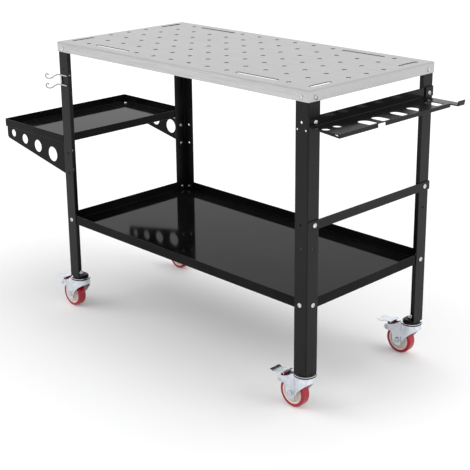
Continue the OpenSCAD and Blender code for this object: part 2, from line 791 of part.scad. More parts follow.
// Brake pedal: sleeve round the pin with a nose that meets the tyre, a web and a bent pad
module pedal_form() {
  sleeve_w = 2 * fork_in - 1;
  sleeve_r = pin_d / 2 + 2;
  nose_l = 7.2;
  nose_t = 3;
  web_t = 2.5;
  web_x = pin_x + 0.75;
  // Pad: outer tip, bend of the tip strip, and the folded inner edge
  tip_x = pin_x - pedal_l;
  tip_z = pin_z + 15.8;
  bend_x = tip_x + 11.5;
  bend_z = tip_z - 2;
  step_x = pin_x + 15;
  step_z = pin_z + 21;
  fold_x = step_x - 7;
  fold_h = 4.5;
  web_h = step_z - pin_z - pedal_t - 0.8;
  translate([0, sleeve_w / 2, 0]) rotate([90, 0, 0]) linear_extrude(sleeve_w) difference() {
    union() {
      translate([pin_x, pin_z]) circle(sleeve_r);
      translate([web_x, pin_z + 2]) square([web_t, web_h - 2]);
      translate([pin_x, pin_z]) rotate(-95) translate([0, -nose_t / 2]) square([nose_l, nose_t]);
    }
    translate([pin_x, pin_z]) circle(d = pin_d + 2 * run);
  }
  translate([0, pedal_w / 2, 0]) rotate([90, 0, 0]) linear_extrude(pedal_w)
    polygon([
      [tip_x, tip_z], [tip_x + 0.4, tip_z - pedal_t], [bend_x, bend_z - pedal_t],
      [fold_x, step_z - pedal_t], [step_x - pedal_t, step_z - pedal_t], [step_x - pedal_t, step_z - fold_h],
      [step_x, step_z - fold_h], [step_x, step_z], [fold_x, step_z], [bend_x, bend_z]
    ]);
}

module pedal_pin_form() {
  translate([pin_x, 0, pin_z]) rotate([90, 0, 0]) {
    cylinder(d = pin_d, h = 2 * fork_out, center = true);
    for (s = [-1, 1]) translate([0, 0, s * (fork_out + 0.75)]) cylinder(d = pin_d + 3, h = 1.5, center = true);
  }
}

// One piece of one caster
module caster(c, piece) {
  at_caster(c) {
    if (piece == "stem") color("lightgray") stem_form();
    if (piece == "fork") color("lightgray") fork_form();
    if (piece == "axle") color("silver") axle_form();
    if (piece == "axle_nut") color("silver") axle_nut_form();
    if (piece == "hub") color("ivory") hub_form();
    if (piece == "tyre") color("crimson") tyre_form();
    if (piece == "pedal") color("lightgray") pedal_form();
    if (piece == "pedal_pin") color("silver") pedal_pin_form();
  }
}

FL = corners[0];
FR = corners[1];
BL = corners[2];
BR = corners[3];

tabletop();
leg_front_left();
leg_front_right();
leg_back_left();
leg_back_right();
bottom_tray();
side_tray();
side_bracket_front();
side_bracket_back();
tool_rack();
end_rail();
hook_arm();
torch_hook();
frame_bolts();
frame_nuts();
accessory_bolts();
accessory_nuts();
stem_nuts();
stem_collars();
swivel_balls();
caster(FL, "stem");  // fl_stem
caster(FL, "fork");  // fl_fork
caster(FL, "axle");  // fl_axle
caster(FL, "axle_nut");  // fl_axle_nut
caster(FL, "hub");  // fl_hub
caster(FL, "tyre");  // fl_tyre
caster(FL, "pedal");  // fl_pedal
caster(FL, "pedal_pin");  // fl_pedal_pin
caster(FR, "stem");  // fr_stem
caster(FR, "fork");  // fr_fork
caster(FR, "axle");  // fr_axle
caster(FR, "axle_nut");  // fr_axle_nut
caster(FR, "hub");  // fr_hub
caster(FR, "tyre");  // fr_tyre
caster(FR, "pedal");  // fr_pedal
caster(FR, "pedal_pin");  // fr_pedal_pin
caster(BL, "stem");  // bl_stem
caster(BL, "fork");  // bl_fork
caster(BL, "axle");  // bl_axle
caster(BL, "axle_nut");  // bl_axle_nut
caster(BL, "hub");  // bl_hub
caster(BL, "tyre");  // bl_tyre
caster(BL, "pedal");  // bl_pedal
caster(BL, "pedal_pin");  // bl_pedal_pin
caster(BR, "stem");  // br_stem
caster(BR, "fork");  // br_fork
caster(BR, "axle");  // br_axle
caster(BR, "axle_nut");  // br_axle_nut
caster(BR, "hub");  // br_hub
caster(BR, "tyre");  // br_tyre
caster(BR, "pedal");  // br_pedal
caster(BR, "pedal_pin");  // br_pedal_pin
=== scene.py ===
"""Looks of a perforated steel welding table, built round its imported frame."""

import json
import logging
import math
from dataclasses import dataclass
from enum import Enum
from typing import Optional, Sequence

import bmesh
import bpy
from mathutils import Matrix, Vector

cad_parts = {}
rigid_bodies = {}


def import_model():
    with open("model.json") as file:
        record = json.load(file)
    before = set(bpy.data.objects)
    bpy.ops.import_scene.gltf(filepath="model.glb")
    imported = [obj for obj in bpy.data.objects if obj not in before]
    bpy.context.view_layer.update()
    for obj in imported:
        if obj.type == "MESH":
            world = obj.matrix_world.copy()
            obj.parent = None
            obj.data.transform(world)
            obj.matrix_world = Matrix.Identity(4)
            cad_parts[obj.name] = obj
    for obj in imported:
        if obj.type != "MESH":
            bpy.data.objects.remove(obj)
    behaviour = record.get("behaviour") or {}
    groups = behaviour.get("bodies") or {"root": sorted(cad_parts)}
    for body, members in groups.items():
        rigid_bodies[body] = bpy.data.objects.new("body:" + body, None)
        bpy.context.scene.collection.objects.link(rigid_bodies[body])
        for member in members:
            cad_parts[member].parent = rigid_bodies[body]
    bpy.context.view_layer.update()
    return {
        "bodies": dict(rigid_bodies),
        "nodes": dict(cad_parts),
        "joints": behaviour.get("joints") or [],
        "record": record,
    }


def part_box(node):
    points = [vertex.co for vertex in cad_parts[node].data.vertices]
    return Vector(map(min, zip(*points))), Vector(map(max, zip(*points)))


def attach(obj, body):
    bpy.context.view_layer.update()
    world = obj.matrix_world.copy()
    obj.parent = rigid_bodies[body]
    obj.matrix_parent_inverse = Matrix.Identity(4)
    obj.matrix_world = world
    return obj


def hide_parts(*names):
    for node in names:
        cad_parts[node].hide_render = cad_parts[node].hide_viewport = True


log = logging.getLogger("welding_table")

Socket = bpy.types.NodeSocket
Node = bpy.types.Node
NodeTree = bpy.types.NodeTree
Material = bpy.types.Material
Mesh = bpy.types.Mesh
Piece = bpy.types.Object
Form = bmesh.types.BMesh

# Lengths in metres
MM = 0.001
SAME_CORNER = 5e-6
SEAM = 2e-6

# Angles in degrees
SHARP = 32.0
FOLD_SHARP = 40.0
HARD_EDGE = 50.0
FLAT = 0.6

# Socket types
FLOAT = "NodeSocketFloat"
WHOLE = "NodeSocketInt"
VECTOR = "NodeSocketVector"
GEOMETRY = "NodeSocketGeometry"
FINISH = "NodeSocketMaterial"

# Parts of a noise's range over which tones and roughness change
MIDDLE = (0.35, 0.65)
WIDE = (0.3, 0.7)

# How much a flat face counts in the shading, and how far a bolt's head is searched
FLAT_WEIGHT = 80
HEAD_MARGIN = 1.05

HEX_SIDES = 6
WHITE = (1.0, 1.0, 1.0, 1.0)
CORNERS = ("fl", "fr", "bl", "br")


class Slot(Enum):
    """The record's material slots."""

    PLATE = "plate_steel"
    COAT = "black_coat"
    FASTENER = "zinc_fastener"
    WIRE = "wire_chrome"
    CASTER = "caster_zinc"
    HUB = "wheel_hub"
    TYRE = "wheel_tyre"


class Axis(Enum):
    """The direction in which a brushed or rolled grain runs."""

    ALONG_X = (1.0, 0.0, 0.0)
    ALONG_Z = (0.0, 0.0, 1.0)


# Node trees


class NodeBoard:
    """A node tree with short ways to add, set and join its nodes."""

    def __init__(self, tree: NodeTree) -> None:
        """Takes the tree that is built."""
        self.tree = tree

    def add(self, kind: str, values: Optional[dict] = None, **settings: object) -> Node:
        """Adds a node.

        Args:
            kind: The node's type name.
            values: Sockets or plain values, by the input's name or number.
            settings: Properties of the node to set.

        Returns:
            The new node.
        """
        node = self.tree.nodes.new(kind)
        for key, value in settings.items():
            setattr(node, key, value)
        for key, value in (values or {}).items():
            self.feed(node.inputs[key], value)
        return node

    def feed(self, socket: Socket, value: object) -> None:
        """Links an output to a socket, or sets the socket's own value.

        Args:
            socket: The input to fill.
            value: An output socket, a plain value, or None to leave it.
        """
        if isinstance(value, Socket):
            self.tree.links.new(value, socket)
        elif value is not None:
            socket.default_value = value

    def math(self, operation: str, *values: object) -> Socket:
        """Adds a Math node with its values in order and gives its output."""
        return self.add("ShaderNodeMath", dict(enumerate(values)), operation=operation).outputs[0]

    def times(self, first: object, second: object) -> Socket:
        """Multiplies two values."""
        return self.math("MULTIPLY", first, second)

    def less(self, first: object, second: object) -> Socket:
        """Takes the second value from the first."""
        return self.math("SUBTRACT", first, second)

    def vector(self, operation: str, *values: object) -> Node:
        """Adds a Vector Math node with its values in order."""
        return self.add("ShaderNodeVectorMath", dict(enumerate(values)), operation=operation)

    def noise(self, place: Socket, scale: object, **more: float) -> Socket:
        """Adds a noise texture, read at a place, and gives its grey value."""
        return self.add("ShaderNodeTexNoise", {"Vector": place, "Scale": scale, **more}).outputs["Fac"]


def effect_group(name: str, inputs: dict, outputs: dict) -> tuple:
    """Starts a shader node group with named sockets.

    Args:
        name: The group's name.
        inputs: The type of each input, by its name.
        outputs: The type of each output, by its name.

    Returns:
        The board, the group's input node and its output node.
    """
    tree = bpy.data.node_groups.new(name, "ShaderNodeTree")
    for way, sockets in (("INPUT", inputs), ("OUTPUT", outputs)):
        for label, kind in sockets.items():
            tree.interface.new_socket(label, in_out=way, socket_type=kind)
    board = NodeBoard(tree)
    return board, board.add("NodeGroupInput"), board.add("NodeGroupOutput")


class Effects:
    """The shader node groups that the finishes share, with noise scales per metre."""

    bevel_samples: int = 6
    rub_scale: float = 60.0
    rub_least: float = 0.4
    coarse_detail: float = 4.0
    coarse_roughness: float = 0.65
    coarse_share: float = 0.62
    fine_scale: float = 4.2
    fine_share: float = 0.38
    dust_slope: float = 0.55
    dust_detail: float = 5.0
    dust_patches: tuple = (0.38, 0.72)
    mottle_scale: float = 9.0
    mottle_detail: float = 3.0

    def __init__(self) -> None:
        """Builds each group once."""
        self.wear = self._edge_wear()
        self.grain = self._straight_grain()
        self.dust = self._settled_dust()
        self.peel = self._coat_peel()

    def _edge_wear(self) -> NodeTree:
        """Makes the mask of rubbed edges and the rounded edge normal.

        Returns:
            The group.
        """
        board, start, end = effect_group(
            "edge_wear",
            {"Radius": FLOAT, "Gain": FLOAT, "Vector": VECTOR},
            {"Mask": FLOAT, "Normal": VECTOR},
        )
        bevel = board.add("ShaderNodeBevel", {"Radius": start.outputs["Radius"]}, samples=self.bevel_samples)
        surface = board.add("ShaderNodeNewGeometry")
        same = board.vector("DOT_PRODUCT", bevel.outputs["Normal"], surface.outputs["Normal"])
        bent = board.less(1.0, same.outputs["Value"])
        uneven = board.math("ADD", board.noise(start.outputs["Vector"], self.rub_scale), self.rub_least)
        mask = board.times(board.times(bent, start.outputs["Gain"]), uneven)
        mask.node.use_clamp = True
        board.feed(end.inputs["Mask"], mask)
        board.feed(end.inputs["Normal"], bevel.outputs["Normal"])
        return board.tree

    def _straight_grain(self) -> NodeTree:
        """Makes long fine scratches along one direction.

        Returns:
            The group.
        """
        board, start, end = effect_group(
            "straight_grain",
            {"Vector": VECTOR, "Frequency": VECTOR},
            {"Value": FLOAT, "Height": FLOAT},
        )
        stretched = board.vector("MULTIPLY", start.outputs["Vector"], start.outputs["Frequency"]).outputs[0]
        coarse = board.noise(stretched, 1.0, Detail=self.coarse_detail, Roughness=self.coarse_roughness)
        fine = board.noise(stretched, self.fine_scale)
        value = board.math("ADD", board.times(coarse, self.coarse_share), board.times(fine, self.fine_share))
        board.feed(end.inputs["Value"], value)
        board.feed(end.inputs["Height"], fine)
        return board.tree

    def _settled_dust(self) -> NodeTree:
        """Makes a thin patchy veil on faces that look up.

        Returns:
            The group.
        """
        board, start, end = effect_group(
            "settled_dust",
            {"Vector": VECTOR, "Scale": FLOAT, "Amount": FLOAT},
            {"Mask": FLOAT},
        )
        surface = board.add("ShaderNodeNewGeometry")
        upright = board.add("ShaderNodeSeparateXYZ", {0: surface.outputs["Normal"]}).outputs["Z"]
        patches = board.noise(start.outputs["Vector"], start.outputs["Scale"], Detail=self.dust_detail)
        least, most = self.dust_patches
        veil = board.times(
            self._soft_step(board, upright, self.dust_slope, 1.0),
            self._soft_step(board, patches, least, most),
        )
        board.feed(end.inputs["Mask"], board.times(veil, start.outputs["Amount"]))
        return board.tree

    @staticmethod
    def _soft_step(board: NodeBoard, value: Socket, low: float, high: float) -> Socket:
        """Turns a value into a soft step, from none at the low end to all at the high end."""
        values = {"Value": value, "From Min": low, "From Max": high}
        return board.add("ShaderNodeMapRange", values, interpolation_type="SMOOTHSTEP").outputs["Result"]

    def _coat_peel(self) -> NodeTree:
        """Makes the fine swell of a sprayed or moulded skin.

        Returns:
            The group.
        """
        board, start, end = effect_group(
            "coat_peel",
            {"Vector": VECTOR, "Scale": FLOAT},
            {"Height": FLOAT, "Mottle": FLOAT},
        )
        place = start.outputs["Vector"]
        board.feed(end.inputs["Height"], board.noise(place, start.outputs["Scale"]))
        board.feed(end.inputs["Mottle"], board.noise(place, self.mottle_scale, Detail=self.mottle_detail))
        return board.tree


# Finishes


class FinishSheet(NodeBoard):
    """A material's tree with its shader and the shared effects at hand."""

    def __init__(self, name: str) -> None:
        """Makes an empty material.

        Args:
            name: The material's name.
        """
        self.material = bpy.data.materials.new(name)
        self.material.use_nodes = True
        super().__init__(self.material.node_tree)
        self.shader = next(n for n in self.tree.nodes if n.type == "BSDF_PRINCIPLED")
        self.place = self.add("ShaderNodeTexCoord").outputs["Object"]

    def effect(self, group: NodeTree, **values: object) -> Node:
        """Places a shared effect in this material, with values for its inputs by name."""
        return self.add("ShaderNodeGroup", {"Vector": self.place, **values}, node_tree=group)

    def ramp(self, value: Socket, span: tuple, to: tuple = (0.0, 1.0)) -> Socket:
        """Maps a value from one range to another.

        Args:
            value: The value to map.
            span: Start and end of its range.
            to: What the start and the end become.

        Returns:
            The mapped value.
        """
        (low, high), (to_low, to_high) = span, to
        values = {"Value": value, "From Min": low, "From Max": high, "To Min": to_low, "To Max": to_high}
        return self.add("ShaderNodeMapRange", values).outputs["Result"]

    def blend(self, mask: Socket, first: object, second: object) -> Socket:
        """Mixes two colours.

        Args:
            mask: How much of the second colour shows.
            first: A colour or a colour socket.
            second: A colour or a colour socket.

        Returns:
            The mixed colour.
        """
        tones = [tone if isinstance(tone, Socket) else (*tone, 1.0) for tone in (first, second)]
        values = {"Factor": mask, 6: tones[0], 7: tones[1]}
        return self.add("ShaderNodeMix", values, data_type="RGBA").outputs[2]

    def paint(self, values: dict) -> None:
        """Fills inputs of the shader with sockets or values, by their names."""
        for key, value in values.items():
            self.feed(self.shader.inputs[key], value)

    def relief(self, height: Socket, strength: float, depth: float, normal: Socket) -> None:
        """Adds a fine bump, its depth in mm, over the normal of the rounded edges."""
        values = {"Strength": strength, "Distance": depth * MM, "Height": height, "Normal": normal}
        self.paint({"Normal": self.add("ShaderNodeBump", values).outputs["Normal"]})


@dataclass(frozen=True)
class BrushedPlate:
    """Bare steel plate, brushed along its length."""

    name: str = "brushed_plate"
    dark: tuple = (0.385, 0.385, 0.388)
    light: tuple = (0.6, 0.6, 0.603)
    edge: tuple = (0.9, 0.9, 0.905)
    contrast: tuple = (0.34, 0.66)
    roughness: tuple = (0.40, 0.27)
    axis: Axis = Axis.ALONG_X
    along: float = 9.0
    across: float = 900.0
    wear_r: float = 0.9
    rub: float = 2.2
    dust: float = 0.3
    dust_scale: float = 7.0
    dust_tone: tuple = (0.50, 0.49, 0.47)
    bump: float = 0.12
    bump_depth: float = 0.02

    def material(self, effects: Effects) -> Material:
        """Builds the material.

        Args:
            effects: The shared node groups.

        Returns:
            The finished material.
        """
        sheet = FinishSheet(self.name)
        rate = tuple(self.along if a else self.across for a in self.axis.value)
        grain = sheet.effect(effects.grain, Frequency=rate)
        wear = sheet.effect(effects.wear, Radius=self.wear_r * MM, Gain=self.rub)
        dust = sheet.effect(effects.dust, Scale=self.dust_scale, Amount=self.dust)
        tone = sheet.blend(sheet.ramp(grain.outputs["Value"], self.contrast), self.dark, self.light)
        tone = sheet.blend(dust.outputs["Mask"], tone, self.dust_tone)
        tone = sheet.blend(wear.outputs["Mask"], tone, self.edge)
        rough = sheet.ramp(grain.outputs["Value"], WIDE, self.roughness)
        sheet.paint({"Base Color": tone, "Metallic": 1.0, "Roughness": rough})
        sheet.relief(grain.outputs["Height"], self.bump, self.bump_depth, wear.outputs["Normal"])
        return sheet.material


@dataclass(frozen=True)
class PowderCoat:
    """Black powder coat over pressed steel."""

    name: str
    roughness: float
    colour: tuple = (0.005, 0.005, 0.0055)
    lift_by: float = 1.5
    lift_least: float = 0.002
    worn: tuple = (0.045, 0.045, 0.048)
    wear_r: float = 1.0
    rub: float = 3.2
    spread: float = 0.07
    peel: float = 520.0
    dust: float = 0.35
    dust_scale: float = 11.0
    dust_tone: tuple = (0.018, 0.018, 0.0175)
    dust_rough: float = 0.25
    sheen: float = 0.17
    bump: float = 0.10
    bump_depth: float = 0.05

    def material(self, effects: Effects) -> Material:
        """Builds the material.

        Args:
            effects: The shared node groups.

        Returns:
            The finished material.
        """
        sheet = FinishSheet(self.name)
        peel = sheet.effect(effects.peel, Scale=self.peel)
        wear = sheet.effect(effects.wear, Radius=self.wear_r * MM, Gain=self.rub)
        dust = sheet.effect(effects.dust, Scale=self.dust_scale, Amount=self.dust)
        lift = tuple(min(1.0, c * self.lift_by + self.lift_least) for c in self.colour)
        tone = sheet.blend(sheet.ramp(peel.outputs["Mottle"], MIDDLE), self.colour, lift)
        tone = sheet.blend(dust.outputs["Mask"], tone, self.dust_tone)
        tone = sheet.blend(wear.outputs["Mask"], tone, self.worn)
        span = (self.roughness - self.spread, self.roughness + self.spread)
        base = sheet.ramp(peel.outputs["Mottle"], WIDE, span)
        rough = sheet.math("ADD", base, sheet.times(dust.outputs["Mask"], self.dust_rough))
        sheet.paint({"Base Color": tone, "Roughness": rough, "Specular IOR Level": self.sheen})
        sheet.relief(peel.outputs["Height"], self.bump, self.bump_depth, wear.outputs["Normal"])
        return sheet.material


@dataclass(frozen=True)
class Plating:
    """Plated steel: zinc on fasteners and casters, chrome on the wire."""

    name: str
    roughness: float
    colour: tuple = (0.66, 0.67, 0.69)
    cloud: tuple = (0.5, 0.515, 0.55)
    cloud_scale: float = 70.0
    cloud_detail: float = 3.0
    cloud_span: tuple = (0.4, 0.64)
    edge: tuple = (0.9, 0.9, 0.92)
    wear_r: float = 0.6
    rub: float = 4.0
    spread: float = 0.07
    peel: float = 240.0
    bump: float = 0.08
    bump_depth: float = 0.03

    def material(self, effects: Effects) -> Material:
        """Builds the material.

        Args:
            effects: The shared node groups.

        Returns:
            The finished material.
        """
        sheet = FinishSheet(self.name)
        peel = sheet.effect(effects.peel, Scale=self.peel)
        wear = sheet.effect(effects.wear, Radius=self.wear_r * MM, Gain=self.rub)
        cloud = sheet.noise(sheet.place, self.cloud_scale, Detail=self.cloud_detail)
        tone = sheet.blend(sheet.ramp(cloud, self.cloud_span), self.colour, self.cloud)
        tone = sheet.blend(wear.outputs["Mask"], tone, self.edge)
        rough = sheet.ramp(cloud, MIDDLE, (self.roughness - self.spread, self.roughness + self.spread))
        sheet.paint({"Base Color": tone, "Metallic": 1.0, "Roughness": rough})
        sheet.relief(peel.outputs["Height"], self.bump, self.bump_depth, wear.outputs["Normal"])
        return sheet.material


@dataclass(frozen=True)
class MouldedPlastic:
    """Moulded tyre or wheel centre."""

    name: str
    colour: tuple
    deep: tuple
    scuff: tuple
    roughness: float
    smoother: float = 0.05
    rougher: float = 0.08
    coat: float = 0.0
    peel: float = 700.0
    wear_r: float = 0.8
    rub: float = 2.2
    bump: float = 0.08
    bump_depth: float = 0.04

    def material(self, effects: Effects) -> Material:
        """Builds the material.

        Args:
            effects: The shared node groups.

        Returns:
            The finished material.
        """
        sheet = FinishSheet(self.name)
        peel = sheet.effect(effects.peel, Scale=self.peel)
        wear = sheet.effect(effects.wear, Radius=self.wear_r * MM, Gain=self.rub)
        tone = sheet.blend(sheet.ramp(peel.outputs["Mottle"], MIDDLE), self.colour, self.deep)
        tone = sheet.blend(wear.outputs["Mask"], tone, self.scuff)
        span = (self.roughness - self.smoother, self.roughness + self.rougher)
        rough = sheet.ramp(peel.outputs["Mottle"], WIDE, span)
        sheet.paint({"Base Color": tone, "Roughness": rough, "Coat Weight": self.coat})
        sheet.relief(peel.outputs["Height"], self.bump, self.bump_depth, wear.outputs["Normal"])
        return sheet.material


@dataclass(frozen=True)
class PaleFloor:
    """Plain pale floor that reads white and keeps the shadow."""

    name: str = "pale_floor"
    colour: tuple = (0.86, 0.86, 0.865)
    fade: float = 0.985
    grain: float = 40.0
    roughness: float = 0.9
    lift: tuple = (0.16, 0.5)
    lift_from: tuple = (0.9, 3.2)

    def material(self) -> Material:
        """Builds the floor's material, lit a little more away from the table.

        Returns:
            The finished material.
        """
        sheet = FinishSheet(self.name)
        faded = tuple(c * self.fade for c in self.colour)
        tone = sheet.blend(sheet.noise(sheet.place, self.grain), self.colour, faded)
        rays = sheet.add("ShaderNodeLightPath").outputs
        seen = sheet.math("MAXIMUM", rays["Is Camera Ray"], rays["Is Glossy Ray"])
        seen = sheet.math("MAXIMUM", seen, rays["Is Transmission Ray"])
        away = sheet.vector("LENGTH", sheet.place).outputs["Value"]
        sheet.paint({
            "Base Color": tone,
            "Roughness": self.roughness,
            "Specular IOR Level": 0.0,
            "Emission Color": WHITE,
            "Emission Strength": sheet.times(seen, sheet.ramp(away, self.lift_from, self.lift)),
        })
        return sheet.material


class Finishes:
    """Every finish of the table, each built once."""

    def __init__(self, effects: Effects) -> None:
        """Builds the materials.

        Args:
            effects: The shared node groups.
        """
        coats = {
            "legs": PowderCoat("coat_legs", 0.34),
            "trays": PowderCoat(
                "coat_trays", 0.06, spread=0.02, peel=300.0, dust=0.1,
                colour=(0.004, 0.004, 0.0045), sheen=0.06,
            ),
            "rack": PowderCoat(
                "coat_rack", 0.16, spread=0.04, dust=0.1, colour=(0.004, 0.004, 0.0044), sheen=0.15,
            ),
            "collar": PowderCoat("coat_collar", 0.4),
        }
        self.coat = {key: finish.material(effects) for key, finish in coats.items()}
        self.plate = BrushedPlate().material(effects)
        # Painted shade: the walls of the holes and slots get a dark plate, standing for the shade inside the
        # holes.
        self.hole_wall_shade = BrushedPlate(
            "laser_cut_edge", dark=(0.07, 0.07, 0.072), light=(0.17, 0.17, 0.172), edge=(0.2, 0.2, 0.2),
            roughness=(0.6, 0.4), axis=Axis.ALONG_Z, along=60.0, across=1400.0, rub=0.0, dust=0.0,
        ).material(effects)
        self.fastener = Plating("zinc_fasteners", 0.2).material(effects)
        self.wire = Plating(
            "bright_wire", 0.26, colour=(0.5, 0.5, 0.51), cloud=(0.42, 0.42, 0.43), spread=0.04,
        ).material(effects)
        self.caster = Plating(
            "zinc_pressing", 0.24, colour=(0.78, 0.82, 0.87), cloud=(0.64, 0.69, 0.76), spread=0.05,
        ).material(effects)
        self.race = Plating(
            "bright_race", 0.13, colour=(0.8, 0.8, 0.82), cloud=(0.7, 0.71, 0.74), spread=0.04,
        ).material(effects)
        self.hub = MouldedPlastic(
            "nylon_hub", colour=(0.93, 0.81, 0.75), deep=(0.86, 0.73, 0.67), scuff=(0.94, 0.85, 0.80),
            roughness=0.38,
        ).material(effects)
        self.tyre = MouldedPlastic(
            "red_tyre", colour=(0.42, 0.004, 0.022), deep=(0.33, 0.003, 0.016), scuff=(0.48, 0.016, 0.034),
            roughness=0.24, coat=0.1,
        ).material(effects)


# Pieces


def own_mesh(piece: Piece, body: str, slot: Slot, *nodes: str) -> None:
    """Hands a finished piece to the frame.

    Args:
        piece: The piece, with its place in its mesh.
        body: The body that carries it.
        slot: The record's material slot; not used.
        nodes: CAD nodes that it stands for.
    """
    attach(piece, body)
    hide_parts(*nodes)
    log.info("%s rides on %s, %d faces", piece.name, body, len(piece.data.polygons))


def mesh_object(name: str, mesh: Mesh, material: Optional[Material] = None) -> Piece:
    """Links a mesh as an object at the origin.

    Args:
        name: The object's name.
        mesh: Its mesh.
        material: Its material, if it gets one here.

    Returns:
        The object.
    """
    mesh.name = name
    if material is not None:
        mesh.materials.append(material)
    piece = bpy.data.objects.new(name, mesh)
    bpy.context.scene.collection.objects.link(piece)
    return piece


def form_object(form: Form, name: str, material: Optional[Material] = None) -> Piece:
    """Turns a bmesh into an object and frees it.

    Args:
        form: The shape, in metres.
        name: The object's name.
        material: Its material, if it gets one here.

    Returns:
        The object.
    """
    mesh = bpy.data.meshes.new(name)
    form.to_mesh(mesh)
    form.free()
    return mesh_object(name, mesh, material)


def soften(piece: Piece, degrees: float) -> Piece:
    """Shades a piece smooth and keeps its hard edges.

    Args:
        piece: The piece.
        degrees: Edges that bend more than this stay sharp.

    Returns:
        The same piece.
    """
    piece.data.polygons.foreach_set("use_smooth", [True] * len(piece.data.polygons))
    piece.data.set_sharp_from_angle(angle=math.radians(degrees))
    return piece


def baked(piece: Piece) -> Piece:
    """Turns a piece's live modifiers into a plain mesh.

    Args:
        piece: The piece with its modifiers.

    Returns:
        The same piece, with no modifier left.
    """
    graph = bpy.context.evaluated_depsgraph_get()
    mesh = bpy.data.meshes.new_from_object(piece.evaluated_get(graph))
    old = piece.data
    piece.modifiers.clear()
    piece.data = mesh
    bpy.data.meshes.remove(old)
    mesh.name = piece.name
    return piece


def keep_flats(piece: Piece) -> Piece:
    """Weighs the shading by face area, so that flats stay flat beside bends.

    Args:
        piece: The softly shaded piece.

    Returns:
        The same piece.
    """
    flats = piece.modifiers.new("flats", "WEIGHTED_NORMAL")
    flats.keep_sharp = True
    flats.weight = FLAT_WEIGHT
    return baked(piece)


def merge_flats(form: Form, degrees: float) -> None:
    """Merges the doubled corners of a solid and joins faces that bend less than this."""
    bmesh.ops.remove_doubles(form, verts=form.verts, dist=SAME_CORNER)
    bmesh.ops.dissolve_limit(form, angle_limit=math.radians(degrees), verts=form.verts, edges=form.edges)


def break_edges(form: Form, width: float, rounds: int) -> None:
    """Rounds the hard edges of a shape a little.

    Args:
        form: The shape, in metres.
        width: How far back each edge is cut, in mm.
        rounds: How many faces each rounding has.
    """
    least = math.radians(HARD_EDGE)
    hard = [e for e in form.edges if len(e.link_faces) == 2 and e.calc_face_angle(0.0) > least]
    bmesh.ops.bevel(
        form, geom=hard, offset=width * MM, offset_type="OFFSET", segments=rounds,
        profile=0.5, affect="EDGES", clamp_overlap=True, harden_normals=False,
    )


def folded_piece(form: Form, name: str, material: Material) -> Piece:
    """Turns a folded or turned shape into a softly shaded piece with outward faces.

    Args:
        form: The shape, in metres.
        name: The piece's name.
        material: Its material.

    Returns:
        The piece.
    """
    bmesh.ops.remove_doubles(form, verts=form.verts, dist=SEAM)
    bmesh.ops.recalc_face_normals(form, faces=form.faces)
    return soften(form_object(form, name, material), FOLD_SHARP)


def add_prism(form: Form, first: Sequence[Vector], second: Sequence[Vector]) -> None:
    """Adds a closed prism between two outlines.

    Args:
        form: The shape that is built.
        first: Corners of one end, in metres.
        second: Corners of the other end, in metres.
    """
    low = [form.verts.new(p) for p in first]
    high = [form.verts.new(p) for p in second]
    form.faces.new(low)
    form.faces.new(high)
    join_rings(form, low, high)


def join_rings(form: Form, first: list, second: list) -> None:
    """Closes the space between two rings of corners with a band of faces.

    Args:
        form: The shape that is built.
        first: The corners of one ring.
        second: The corners of the next ring, in the same order.
    """
    for i in range(len(first)):
        j = (i + 1) % len(first)
        form.faces.new((first[i], first[j], second[j], second[i]))


def quarter_turn(steps: int) -> list:
    """Gives angles from nought to a right angle, in radians."""
    return [i / steps * math.pi / 2 for i in range(steps + 1)]


def box_middle(node: str) -> Vector:
    """Gives the middle of a CAD node's box, in metres."""
    low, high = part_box(node)
    return Vector([(a + b) / 2 for a, b in zip(low, high)])


@dataclass(frozen=True)
class Recut:
    """A smoothly shaded copy of a CAD node with broken edges."""

    bevel: float = 0.3
    rounds: int = 2
    degrees: float = SHARP

    def make(self, mesh: Mesh, name: str, material: Material) -> Piece:
        """Copies a node's solid, merges it and breaks its edges.

        Args:
            mesh: The CAD node's mesh.
            name: The piece's name.
            material: Its material.

        Returns:
            The piece.
        """
        form = bmesh.new()
        form.from_mesh(mesh)
        merge_flats(form, FLAT)
        if self.bevel:
            break_edges(form, self.bevel, self.rounds)
        return keep_flats(soften(form_object(form, name, material), self.degrees))


def islands(mesh: Mesh) -> list:
    """Splits a mesh into its separate solids.

    Args:
        mesh: The mesh, its corners not yet merged.

    Returns:
        One list of points for each solid.
    """
    form = bmesh.new()
    form.from_mesh(mesh)
    bmesh.ops.remove_doubles(form, verts=form.verts, dist=SAME_CORNER)
    seen: set = set()
    groups = []
    for vert in form.verts:
        if vert in seen:
            continue
        seen.add(vert)
        stack, points = [vert], []
        while stack:
            here = stack.pop()
            points.append(here.co.copy())
            for edge in here.link_edges:
                other = edge.other_vert(here)
                if other not in seen:
                    seen.add(other)
                    stack.append(other)
        groups.append(points)
    form.free()
    return groups


def extents(points: Sequence[Vector]) -> tuple:
    """Gives the box round a solid.

    Args:
        points: Its corners.

    Returns:
        The low and the high corner of the box.
    """
    low = Vector([min(p[k] for p in points) for k in range(3)])
    high = Vector([max(p[k] for p in points) for k in range(3)])
    return low, high


@dataclass
class Seat:
    """Where one bolt sits: its seat, its outward axis and its length."""

    point: Vector
    axis: Vector
    length: float


def unit_axis(k: int, sign: float = 1.0) -> Vector:
    """Gives a vector along the axis with this number."""
    return Vector([sign if j == k else 0.0 for j in range(3)])


def thinnest(size: Vector) -> int:
    """Gives the number of the axis along which a solid is thinnest."""
    return min(range(3), key=lambda k: size[k])


